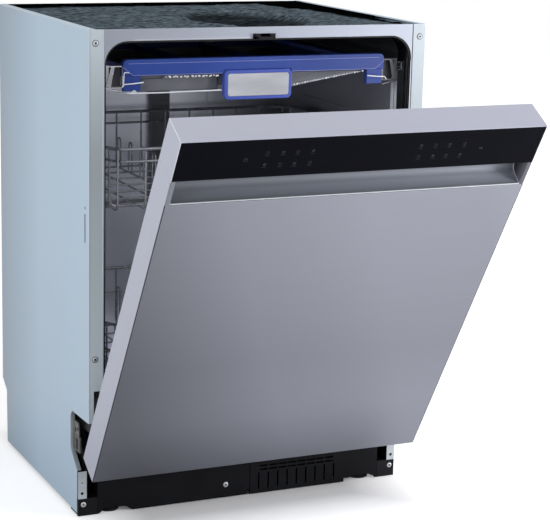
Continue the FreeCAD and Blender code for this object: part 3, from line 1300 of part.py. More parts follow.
def cup_shelf():
    """Folding cup shelf, stowed upright between its clips on the left of the upper basket."""
    first, last = shelf_clips()
    front = "(%s + clip_length / 2 + play)" % first
    back = "(%s - clip_length / 2 - play)" % last
    plate = box("shelf_plate", ("shelf_x - shelf_thick / 2", "shelf_x + shelf_thick / 2"),
                (front, back), ("shelf_z - shelf_thick / 2", "shelf_z + shelf_width"))
    pitch = "(%s - %s - shelf_bar) / shelf_slots" % (back, front)
    slots = [
        box("shelf_slot_%d" % index, ("shelf_x - shelf_thick", "shelf_x + shelf_thick"),
            ("%s + shelf_bar + %d * %s" % (front, index, pitch),
             "%s + %d * %s" % (front, index + 1, pitch)),
            ("shelf_z + shelf_bar", "shelf_z + shelf_width - shelf_bar"))
        for index in range(int(number("shelf_slots")))
    ]
    pins = [
        rod("shelf_pin_front", "y", "shelf_pin", (front + " - shelf_pin_length", front),
            x="shelf_x", z="shelf_z"),
        rod("shelf_pin_rear", "y", "shelf_pin", (back, back + " + shelf_pin_length"),
            x="shelf_x", z="shelf_z"),
    ]
    node("cup_shelf", fuse("shelf_whole", cut("shelf_open", plate, *slots), *pins))


def lower_basket():
    """Lower basket with its wheel brackets, and its wheels."""
    wires = cage("lower", "lower_front", "lower_rim_z", "lower_second_z", "lower_floor_z", "lower_tine")
    for side, sign in BOTH_SIDES:
        for place in ("wheel_front", "wheel_back"):
            plate = box("lower_strut_%s_%s" % (side, place), mirrored(sign, "plate_in", "plate_out"),
                        (place + " - strut_half", place + " + strut_half"),
                        ("wheel_z - strut_half", "lower_rim_z + rim_wire"))
            axle = rod("lower_axle_%s_%s" % (side, place), "x", "axle_radius",
                       mirrored(sign, "plate_out", "wheel_outer"), y=place, z="wheel_z")
            wires.append(fuse("lower_bracket_%s_%s" % (side, place), plate, axle))
    node("lower_basket", *wires)
    for name, place in (("lower_wheels_front", "wheel_front"), ("lower_wheels_rear", "wheel_back")):
        wheel_pair(name, "wheel_radius", place, "wheel_z", "wheel_inner", "wheel_outer")


# Door, drawn shut

def door_shell():
    """Outer panel, side walls and top cap."""
    face = box("panel_face", both("door_half"), ("door_front", "panel_back"),
               ("door_low", "panel_top"))
    hem = box("panel_hem", both("wall_in"), ("panel_back", "panel_back + hem_depth"),
              ("door_low", "door_low + sheet"))
    door_node("door_outer_panel", fuse("panel_whole", face, hem))
    walls = []
    for side, sign in BOTH_SIDES:
        web = box("door_web_" + side, mirrored(sign, "wall_in", "door_half"),
                  ("panel_back", "door_back"), ("door_low", "cap_low"))
        flange = box("door_flange_" + side, mirrored(sign, "liner_half", "wall_in"),
                     ("door_back - sheet", "door_back"), ("wall_flange_low", "cap_low"))
        walls.append(fuse("door_wall_" + side, web, flange))
    door_node("door_side_walls", *walls)
    cap = box("cap_block", both("door_half"), ("door_front", "door_back"), ("cap_low", "door_top"))
    room = box("cap_room", both("wall_in"), ("door_front - 1", "door_back - cap_wall"),
               ("cap_low - 1", "cap_top_in"))
    slot = box("cap_slot", both("striker_width / 2 + slot_play"),
               ("door_back - cap_wall - 1", "door_back + 1"),
               ("striker_low - slot_play", "striker_top + slot_play / 2"))
    door_node("door_top_cap", cut("cap_cut", cap, room, slot))


def handle_recess():
    """Full-width grip recess between the outer panel and the control glass."""
    inside = [
        ("door_front", "panel_top + grip_lip"),
        ("door_front + grip_run", "panel_top + grip_lip + grip_rise"),
        ("door_front + grip_depth", "panel_top + grip_lip + grip_rise + grip_bevel_low"),
        ("door_front + grip_depth", "glass_low - grip_bevel_high"),
        ("door_front + grip_run", "glass_low"),
        ("glass_back", "glass_low"),
    ]
    outside = [
        ("glass_back", "glass_low + grip_skin"),
        ("door_front + grip_run + grip_skin / 2", "glass_low + grip_skin"),
        ("door_front + grip_depth + grip_skin", "glass_low - grip_bevel_high + grip_skin / 2"),
        ("door_front + grip_depth + grip_skin",
         "panel_top + grip_lip + grip_rise + grip_bevel_low - grip_skin / 2"),
        ("door_front + grip_run + grip_skin / 2", "panel_top + grip_rise + grip_skin / 2"),
        ("panel_back", "panel_top"),
        ("door_front", "panel_top"),
    ]
    channel = slab("grip_channel", "YZ_Plane", inside + outside, both("grip_end"))
    ends = []
    for side, sign in BOTH_SIDES:
        span = mirrored(sign, "grip_end", "wall_in")
        ends.append(box("grip_end_%s_front" % side, span, ("door_front", "glass_back"),
                        ("panel_top", "glass_low")))
        ends.append(box("grip_end_%s_rear" % side, span,
                        ("glass_back", "door_front + grip_depth + grip_skin"),
                        ("panel_top", "glass_low + grip_skin")))
    door_node("handle_recess", fuse("grip_whole", channel, *ends))


def door_front_parts():
    """Control glass, board and latch in the top cap."""
    door_node("control_fascia", box("glass_plate", both("wall_in"), ("door_front", "glass_back"),
                                    ("glass_low", "cap_top_in")))
    door_node("control_board", box("board_plate", both("board_half"),
                                   ("glass_back", "glass_back + board_thick"),
                                   ("board_low", "board_top")))
    door_node("door_latch", box("latch_block", both("latch_width / 2"),
                                ("latch_front", "latch_back"), ("latch_low", "cap_top_in")))


def door_inside():
    """Inner liner with the dispenser's window, damping pad, lower seal and hinge arms."""
    block = box("liner_block", both("liner_half"), ("liner_front", "door_back"),
                ("liner_low", "cap_low"))
    room = box("liner_room", both("liner_half - sheet"), ("liner_front - 1", "door_back - sheet"),
               ("liner_low + sheet", "cap_low - sheet"))
    window = box("liner_window", ("disp_left", "disp_right"), ("door_back - 2 * sheet", "door_back + 1"),
                 ("disp_low", "disp_top"))
    door_node("door_inner_liner", cut("liner_cut", block, room, window))
    door_node("door_insulation", box("core_pad", both("core_half"),
                                     ("panel_back", "panel_back + core_thick"),
                                     ("core_low", "core_top")))
    door_node("door_bottom_seal", box("seal_strip", both("seal_half"),
                                      ("door_back", "door_back + seal_thick"),
                                      ("seal_low", "seal_top")))
    arms = []
    for side, sign in BOTH_SIDES:
        span = mirrored(sign, "liner_half", "liner_half + arm_thick")
        bar = box("hinge_arm_%s_bar" % side, span, ("arm_front", "arm_back"), ("arm_low", "arm_top"))
        bore = rod("hinge_arm_%s_bore" % side, "x", "pin_radius + running",
                   mirrored(sign, "liner_half - 1", "liner_half + arm_thick + 1"),
                   y="hinge_y", z="hinge_z")
        arms.append(cut("hinge_arm_" + side, bar, bore))
    door_node("hinge_arms", *arms)


def dispenser():
    """Detergent dispenser in the liner, its sliding lid and the rinse-aid cap."""
    body = box("disp_block", ("disp_left", "disp_right"), ("door_back - disp_depth", "disp_face"),
               ("disp_low", "disp_top"))
    lid_x = ("cup_left - lid_lap", "cup_right + lid_lap")
    lid_y = ("lid_face", "lid_face + lid_thick")
    guides = [
        box("disp_guide_left", ("cup_left - lid_lap - play - guide_width", "cup_left - lid_lap - play"),
            ("disp_face", "lid_face + lid_thick"), ("disp_low", "disp_top")),
        box("disp_guide_right", ("cup_right + lid_lap + play", "cup_right + lid_lap + play + guide_width"),
            ("disp_face", "lid_face + lid_thick"), ("disp_low", "disp_top")),
    ]
    cup = box("disp_cup", ("cup_left", "cup_right"), ("disp_face - cup_depth", "disp_face + 1"),
              ("cup_low", "cup_top"))
    filler = rod("disp_filler", "y", "rinse_bore", ("disp_face - rinse_plug - play", "disp_face + 1"),
                 x="rinse_x", z="rinse_z")
    door_node("detergent_dispenser", cut("disp_cut", fuse("disp_whole", body, *guides), cup, filler))
    door_node("dispenser_lid", box("lid_plate", lid_x, lid_y,
                                   ("cup_low - lid_lap", "cup_top + lid_lap")))
    spot = {"x": "rinse_x", "z": "rinse_z"}
    disc = rod("rinse_disc_cap", "y", "rinse_radius", ("lid_face", "lid_face + rinse_disc"), **spot)
    plug = rod("rinse_plug_rod", "y", "rinse_bore - 2 * running",
               ("disp_face - rinse_plug + play", "lid_face"), **spot)
    grip = box("rinse_grip_bar", ("rinse_x - 2", "rinse_x + 2"),
               ("lid_face + rinse_disc", "lid_face + rinse_disc + rinse_grip"),
               ("rinse_z - rinse_radius + 3", "rinse_z + rinse_radius - 3"))
    door_node("rinse_aid_cap", fuse("rinse_whole", disc, plug, grip))


def build():
    """Every sub-part of the dishwasher."""
    fill_sheets()
    for side, sign in BOTH_SIDES:
        side_panel(side, sign)
        foot("front_foot_" + side, "%d * foot_x" % sign, "foot_y")
    foot("rear_foot", "0", "rear_foot_y")
    for part in (tub, insulation, rear_cover, base_tray, plinth, end_blocks, screws,
                 hinge_brackets, door_springs, door_gasket, latch_striker, sump, filters, pumps,
                 inlet_valve, power_inlet, softener, air_break, feed_pipe, spray_arms, rails, cutlery_tray,
                 tray_front, upper_basket, upper_feed, cup_shelf, lower_basket, door_shell,
                 handle_recess, door_front_parts, door_inside, dispenser):
        part()
    doc.recompute()


def check():
    """Stop if an object failed or a sub-part has no valid solid."""
    failed = [item.Name for item in doc.Objects if {"Invalid", "Error"} & set(item.State)]
    for item in nodes:
        if item.Shape.isNull() or not item.Shape.isValid() or not item.Shape.Solids:
            failed.append(item.Label)
    if failed:
        raise RuntimeError("not built: " + ", ".join(failed))


def export():
    """Write each sub-part to its own STEP file."""
    os.makedirs("parts", exist_ok=True)
    for item in nodes:
        item.Shape.exportStep("parts/%s.step" % item.Label)
    print(len(nodes), "sub-parts written")


build()
check()
export()
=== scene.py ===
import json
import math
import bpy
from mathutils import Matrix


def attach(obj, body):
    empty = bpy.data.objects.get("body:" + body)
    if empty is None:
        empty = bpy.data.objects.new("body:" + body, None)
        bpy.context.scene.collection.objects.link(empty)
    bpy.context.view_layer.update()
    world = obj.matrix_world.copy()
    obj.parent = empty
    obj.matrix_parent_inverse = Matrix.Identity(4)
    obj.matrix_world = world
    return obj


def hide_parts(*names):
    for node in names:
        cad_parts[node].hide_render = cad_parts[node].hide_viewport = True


bl_info = {
    "name": "Built-in Dishwasher",
    "version": (1, 0, 0),
    "blender": (4, 5, 0),
    "location": "View3D > Sidebar > Dishwasher",
    "description": "Dresses the packed dishwasher with detailed pieces and finishes",
    "category": "Object",
}

import bmesh
import bpy
from bpy.props import FloatProperty, FloatVectorProperty, IntProperty, PointerProperty
from mathutils import Euler, Matrix, Vector, noise

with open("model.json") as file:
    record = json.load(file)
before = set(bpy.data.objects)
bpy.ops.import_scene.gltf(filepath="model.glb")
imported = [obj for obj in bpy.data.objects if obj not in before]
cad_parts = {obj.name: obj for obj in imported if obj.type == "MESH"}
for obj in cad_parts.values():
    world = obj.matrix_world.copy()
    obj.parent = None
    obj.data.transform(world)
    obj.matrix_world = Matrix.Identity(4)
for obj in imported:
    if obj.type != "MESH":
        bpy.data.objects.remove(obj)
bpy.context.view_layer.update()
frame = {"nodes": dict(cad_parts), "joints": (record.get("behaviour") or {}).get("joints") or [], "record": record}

# Pieces are drawn in millimetres, door pieces as if the door were shut.
BODY_OF = {node: body for body, members in frame["record"]["behaviour"]["bodies"].items()
           for node in members}
DOOR_BODIES = ("door", "dispenser_lid", "rinse_aid_cap")
HINGE = next(joint for joint in frame["joints"] if joint["name"] == "door_hinge")
HINGE_PLACE = Vector(HINGE["pos_m"]) * 1000
SWING = (Matrix.Translation(HINGE_PLACE)
         @ Matrix.Rotation(math.radians(-HINGE["range_deg"][0]), 4, "X")
         @ Matrix.Translation(-HINGE_PLACE))
SIDES = (("left", -1), ("right", 1))
SIGNS = (-1, 1)

# Radii of the basket wires and rims, and the distance of the baskets' brackets from the centre line.
WIRE_GAUGE = 1.75
RIM_GAUGE = 2.75
BRACKET_PLACE = 252.75


# Measures and mesh helpers

def limits(node):
    """Lowest and highest corner of a CAD node in millimetres."""
    turn = Matrix.Scale(1000, 4)
    if BODY_OF[node] in DOOR_BODIES:
        turn = SWING.inverted() @ turn
    places = [turn @ vertex.co for vertex in frame["nodes"][node].data.vertices]
    low = Vector([min(place[axis] for place in places) for axis in range(3)])
    high = Vector([max(place[axis] for place in places) for axis in range(3)])
    return low, high


def sizes():
    """Sizes that the user may change."""
    return bpy.context.scene.dishwasher_sizes


def finish_piece(name, bm, body, coats, replaces=(), angle=35, merge=0.002):
    """Turn a drawn piece into an object that rides on its body, in one finish or several."""
    if merge:
        bmesh.ops.remove_doubles(bm, verts=bm.verts, dist=merge)
        bmesh.ops.recalc_face_normals(bm, faces=bm.faces)
    turn = Matrix.Scale(0.001, 4)
    if body in DOOR_BODIES:
        turn = turn @ SWING
    bm.transform(turn)
    bm.normal_update()
    limit = math.radians(angle)
    for face in bm.faces:
        face.smooth = True
    for edge in bm.edges:
        edge.smooth = len(edge.link_faces) == 2 and edge.calc_face_angle(0) < limit
    mesh = bpy.data.meshes.new(name)
    bm.to_mesh(mesh)
    bm.free()
    if "custom_normal" in mesh.attributes:
        mesh.attributes.remove(mesh.attributes["custom_normal"])
    for key in [coats] if isinstance(coats, str) else coats:
        mesh.materials.append(finish(key))
    piece = bpy.data.objects.new(name, mesh)
    bpy.context.scene.collection.objects.link(piece)
    even = piece.modifiers.new("even_normals", "WEIGHTED_NORMAL")
    even.keep_sharp = True
    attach(piece, body)
    if replaces:
        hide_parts(*replaces)
    return piece


def only(items, kind):
    """Those of the items that are of one kind."""
    return [item for item in items if isinstance(item, kind)]


def merged(bm, part):
    """Add the faces of one bmesh to another."""
    holder = bpy.data.meshes.new("holder")
    part.to_mesh(holder)
    part.free()
    bm.from_mesh(holder)
    bpy.data.meshes.remove(holder)


def bevelled(bm, edges, width, segments=2, material=-1):
    """Round some edges."""
    bmesh.ops.bevel(bm, geom=edges, offset=width, offset_type="OFFSET", affect="EDGES",
                    segments=segments, profile=0.5, material=material, clamp_overlap=True)


def sharp_edges(bm, angle=30):
    """Edges whose faces turn by more than an angle in degrees."""
    return [edge for edge in bm.edges
            if len(edge.link_faces) == 2 and edge.calc_face_angle(0) > math.radians(angle)]


def block(low, high, width=0.0, segments=2):
    """Box between two corners with its edges rounded."""
    bm = bmesh.new()
    low, high = Vector(low), Vector(high)
    bmesh.ops.create_cube(bm, size=1)
    bmesh.ops.scale(bm, vec=high - low, verts=bm.verts)
    bmesh.ops.translate(bm, vec=(high + low) / 2, verts=bm.verts)
    if width:
        bevelled(bm, bm.edges[:], width, segments)
    return bm


def side_block(sign, near, far, low, high, width=0.0, segments=2):
    """Box on one side, between two distances from the centre line and two corners (y, z)."""
    start, end = sorted((sign * near, sign * far))
    return block((start, *low), (end, *high), width, segments)


def side_prism(outline, sign, near, far, width=0.0, segments=2, choose=None):
    """Outline of (y, z) places pushed between two distances from the centre line on one side."""
    start, end = sorted((sign * near, sign * far))
    return prism(outline, 0, start, end, width, segments, choose)


def along(axis):
    """Test for edges that run along one axis."""
    return lambda edge: abs((edge.verts[0].co - edge.verts[1].co).normalized()[axis]) > 0.99


def prism(outline, axis, start, end, width=0.0, segments=2, choose=None):
    """Outline pushed along an axis. X takes (y, z), Y takes (x, z) and Z takes (x, y)."""
    bm = bmesh.new()
    places = [list(place[:axis]) + [start] + list(place[axis:]) for place in outline]
    face = bm.faces.new([bm.verts.new(place) for place in places])
    move = Vector((0, 0, 0))
    move[axis] = end - start
    grown = bmesh.ops.extrude_face_region(bm, geom=[face])["geom"]
    bmesh.ops.translate(bm, vec=move, verts=only(grown, bmesh.types.BMVert))
    bmesh.ops.recalc_face_normals(bm, faces=bm.faces)
    if width:
        edges = [edge for edge in bm.edges if choose is None or choose(edge)]
        bevelled(bm, edges, width, segments)
    return bm


def turned(profile, place, axis, steps=32):
    """Profile of (radius, height) pairs spun round an axis through a place."""
    bm = bmesh.new()
    verts = [bm.verts.new((radius, 0, height)) for radius, height in profile]
    edges = [bm.edges.new(pair) for pair in zip(verts, verts[1:])]
    bmesh.ops.spin(bm, geom=verts + edges, cent=(0, 0, 0), axis=(0, 0, 1), dvec=(0, 0, 0),
                   angle=2 * math.pi, steps=steps, use_merge=True, use_duplicate=False)
    bmesh.ops.remove_doubles(bm, verts=bm.verts, dist=0.001)
    bmesh.ops.recalc_face_normals(bm, faces=bm.faces)
    facing = Vector((0, 0, 1)).rotation_difference(Vector(axis)).to_matrix().to_4x4()
    bm.transform(Matrix.Translation(place) @ facing)
    return bm


def soft_mesh(node, width, segments=2, inner=True):
    """Merged copy of a CAD node in millimetres, its sharp edges or only the outer ones rounded."""
    bm = bmesh.new()
    bm.from_mesh(frame["nodes"][node].data)
    turn = Matrix.Scale(1000, 4)
    if BODY_OF[node] in DOOR_BODIES:
        turn = SWING.inverted() @ turn
    bm.transform(turn)
    bmesh.ops.remove_doubles(bm, verts=bm.verts, dist=0.005)
    bmesh.ops.dissolve_limit(bm, angle_limit=math.radians(0.6), verts=bm.verts, edges=bm.edges)
    if width:
        bevelled(bm, [edge for edge in sharp_edges(bm) if inner or edge.is_convex], width, segments)
    return bm


def soft_copy(node, width, coat, segments=2, inner=True):
    """Piece that stands for a CAD node, with its edges rounded."""
    bm = soft_mesh(node, width, segments, inner)
    return finish_piece(node + "_soft", bm, BODY_OF[node], coat, (node,), merge=0.0)


def filleted(points, radius, steps=5):
    """Polyline with its corners rounded to a radius."""
    points = [Vector(point) for point in points]
    line = [points[0]]
    for before, corner, after in zip(points, points[1:], points[2:]):
        back, on = (before - corner), (after - corner)
        half_turn = back.angle(on) / 2
        reach = min(radius / math.tan(half_turn), back.length / 2.01, on.length / 2.01)
        start, end = corner + back.normalized() * reach, corner + on.normalized() * reach
        for index in range(steps + 1):
            part = index / steps
            line.append(start.lerp(corner, part).lerp(corner.lerp(end, part), part))
    line.append(points[-1])
    return line


def wires(paths, sides=2):
    """Round wires along paths of (points, radius, closed)."""
    curve = bpy.data.curves.new("wires", "CURVE")
    curve.dimensions = "3D"
    curve.bevel_depth = 1
    curve.bevel_resolution = sides
    curve.use_fill_caps = True
    for points, radius, closed in paths:
        spline = curve.splines.new("POLY")
        spline.points.add(len(points) - 1)
        for point, place in zip(spline.points, points):
            point.co = (*place, 1)
            point.radius = radius
        spline.use_cyclic_u = closed
    holder = bpy.data.objects.new("wires", curve)
    mesh = bpy.data.meshes.new_from_object(holder)
    bm = bmesh.new()
    bm.from_mesh(mesh)
    bpy.data.objects.remove(holder)
    bpy.data.curves.remove(curve)
    bpy.data.meshes.remove(mesh)
    return bm


def ring_path(half, front, back, z, radius):
    """Closed rounded rectangle at a height."""
    corners = [(-half, front, z), (half, front, z), (half, back, z), (-half, back, z)]
    start = Vector((0, front, z))
    return filleted([start, corners[1], corners[2], corners[3], corners[0], start], radius, 8)[:-1]


def swept(profile, moves, start):
    """Profile face carried along straight runs and round corners."""
    bm = bmesh.new()
    face = bm.faces.new([bm.verts.new(place) for place in profile(start)])
    for kind, value in moves:
        if kind == "run":
            grown = bmesh.ops.extrude_face_region(bm, geom=[face])["geom"]
            bmesh.ops.translate(bm, vec=value, verts=only(grown, bmesh.types.BMVert))
            face = only(grown, bmesh.types.BMFace)[0]
        else:
            centre, axis, angle, steps = value
            last = bmesh.ops.spin(bm, geom=[face], cent=centre, axis=axis, dvec=(0, 0, 0), angle=angle,
                                  steps=steps, use_merge=False, use_duplicate=False)["geom_last"]
            face = only(last, bmesh.types.BMFace)[0]
    bmesh.ops.recalc_face_normals(bm, faces=bm.faces)
    return bm


# Shader nodes and finishes

def node_of(tree, kind, **settings):
    """New shader node with its settings."""
    node = tree.nodes.new("ShaderNode" + kind)
    for name, value in settings.items():
        setattr(node, name, value)
    return node


def maths(tree, operation, *values):
    """Result of a Math node on sockets and numbers."""
    node = node_of(tree, "Math", operation=operation)
    for socket, value in zip(node.inputs, values):
        if isinstance(value, bpy.types.NodeSocket):
            tree.links.new(value, socket)
        else:
            socket.default_value = value
    return node.outputs[0]


def faded(tree, value, first, last, least=0.0, most=1.0):
    """Value carried from one range to another and held at its ends."""
    node = node_of(tree, "MapRange")
    for name, number in (("From Min", first), ("From Max", last),
                         ("To Min", least), ("To Max", most)):
        node.inputs[name].default_value = number
    tree.links.new(value, node.inputs["Value"])
    return node.outputs["Result"]


def measured(tree, place, operation, vector=(0.0, 0.0, 0.0)):
    """Number that a Vector Math node gives for a place."""
    node = node_of(tree, "VectorMath", operation=operation)
    node.inputs[1].default_value = vector
    tree.links.new(place, node.inputs[0])
    return node.outputs["Value"]


def mixed(tree, part, first, last):
    """Colour between a fixed one and a fixed or linked one."""
    node = node_of(tree, "Mix", data_type="RGBA")
    node.inputs["A"].default_value = first
    tree.links.new(part, node.inputs["Factor"])
    if isinstance(last, bpy.types.NodeSocket):
        tree.links.new(last, node.inputs["B"])
    else:
        node.inputs["B"].default_value = last
    return node.outputs["Result"]


def noise_of(tree, mapping, scale, detail):
    """Value of a noise on mapped places."""
    node = node_of(tree, "TexNoise")
    node.inputs["Scale"].default_value = scale
    node.inputs["Detail"].default_value = detail
    tree.links.new(mapping.outputs["Vector"], node.inputs["Vector"])
    return node.outputs["Fac"]


def surface(name, colour, roughness, metallic=0.0, tone=(0.1, 6.0), rough_spread=0.08,
            bump=(0.0, 400.0), stretch=(1, 1, 1), specular=0.5, coat=0.0, second=None, fades=()):
    """Finish whose colour and roughness wander with one noise, with a finer one as its grain.

    A fade darkens it along a direction, as painted shade: (direction, dark place, full place, least part).
    """
    material = bpy.data.materials.new(name)
    material.use_nodes = True
    tree = material.node_tree
    shader = tree.nodes["Principled BSDF"]
    for socket, value in (("Metallic", metallic), ("Specular IOR Level", specular),
                          ("Coat Weight", coat), ("Coat Roughness", 0.12)):
        shader.inputs[socket].default_value = value
    place = node_of(tree, "TexCoord").outputs["Object"]
    mapping = node_of(tree, "Mapping")
    mapping.inputs["Scale"].default_value = stretch
    tree.links.new(place, mapping.inputs["Vector"])
    spread, scale = tone
    wander = noise_of(tree, mapping, scale, 4)
    ramp = node_of(tree, "ValToRGB")
    dark = [value * (1 - spread) for value in colour]
    light = [min(1, value * (1 + spread)) for value in second or colour]
    for element, position, tint in zip(ramp.color_ramp.elements, (0.3, 0.7), (dark, light)):
        element.position = position
        element.color = (*tint, 1)
    tree.links.new(wander, ramp.inputs["Fac"])
    shade = ramp.outputs["Color"]
    # Painted shade: each fade multiplies the colour towards black by position.
    for direction, black, full, least in fades:
        part = faded(tree, measured(tree, place, "DOT_PRODUCT", direction), black, full, least)
        shade = mixed(tree, part, (0, 0, 0, 1), shade)
    tree.links.new(shade, shader.inputs["Base Color"])
    gloss = faded(tree, wander, 0, 1, max(0.02, roughness - rough_spread),
                  min(1.0, roughness + rough_spread))
    tree.links.new(gloss, shader.inputs["Roughness"])
    relief = node_of(tree, "Bump")
    relief.inputs["Strength"].default_value = bump[0]
    relief.inputs["Distance"].default_value = 0.0005
    tree.links.new(noise_of(tree, mapping, bump[1], 3), relief.inputs["Height"])
    tree.links.new(relief.outputs["Normal"], shader.inputs["Normal"])
    return material


def grip_shade_fade(dark, full, least):
    """Painted shade for the grip: a fade between two depths behind the front of the grip."""
    deep = SWING.to_3x3() @ Vector((0, 1, 0))
    front = deep.dot(SWING @ Vector((0, limits("handle_recess")[0].y, 0))) / 1000
    return deep, front + dark, front + full, least


def paint(name, colour, roughness=0.42, specular=0.3, tone=(0.02, 3.0), bump=(0.05, 900.0), fades=()):
    """Powder paint on sheet."""
    return dict(name=name, colour=colour, roughness=roughness, tone=tone, rough_spread=0.05, bump=bump,
                specular=specular, fades=fades)


def recipe(name, colour, roughness, metallic, tone, rough_spread, bump, **more):
    """Arguments that surface takes for a finish."""
    return dict(name=name, colour=colour, roughness=roughness, metallic=metallic, tone=tone,
                rough_spread=rough_spread, bump=bump, **more)


def brushed(name, colour, roughness, metallic, **more):
    """Brushed steel."""
    return recipe(name, colour, roughness, metallic, (0.02, 40.0), 0.04, (0.03, 1500.0), **more)


def plastic(name, colour, roughness, tone=(0.1, 20.0), rough_spread=0.08, bump=(0.12, 700.0),
            **more):
    """Moulded plastic, glass, rubber or mat."""
    return recipe(name, colour, roughness, 0.0, tone, rough_spread, bump, **more)


def blue(name, colour, roughness, **more):
    """Blue plastic of the cutlery tray."""
    return plastic(name, colour, roughness, (0.07, 18.0), 0.06, (0.08, 700.0), **more)


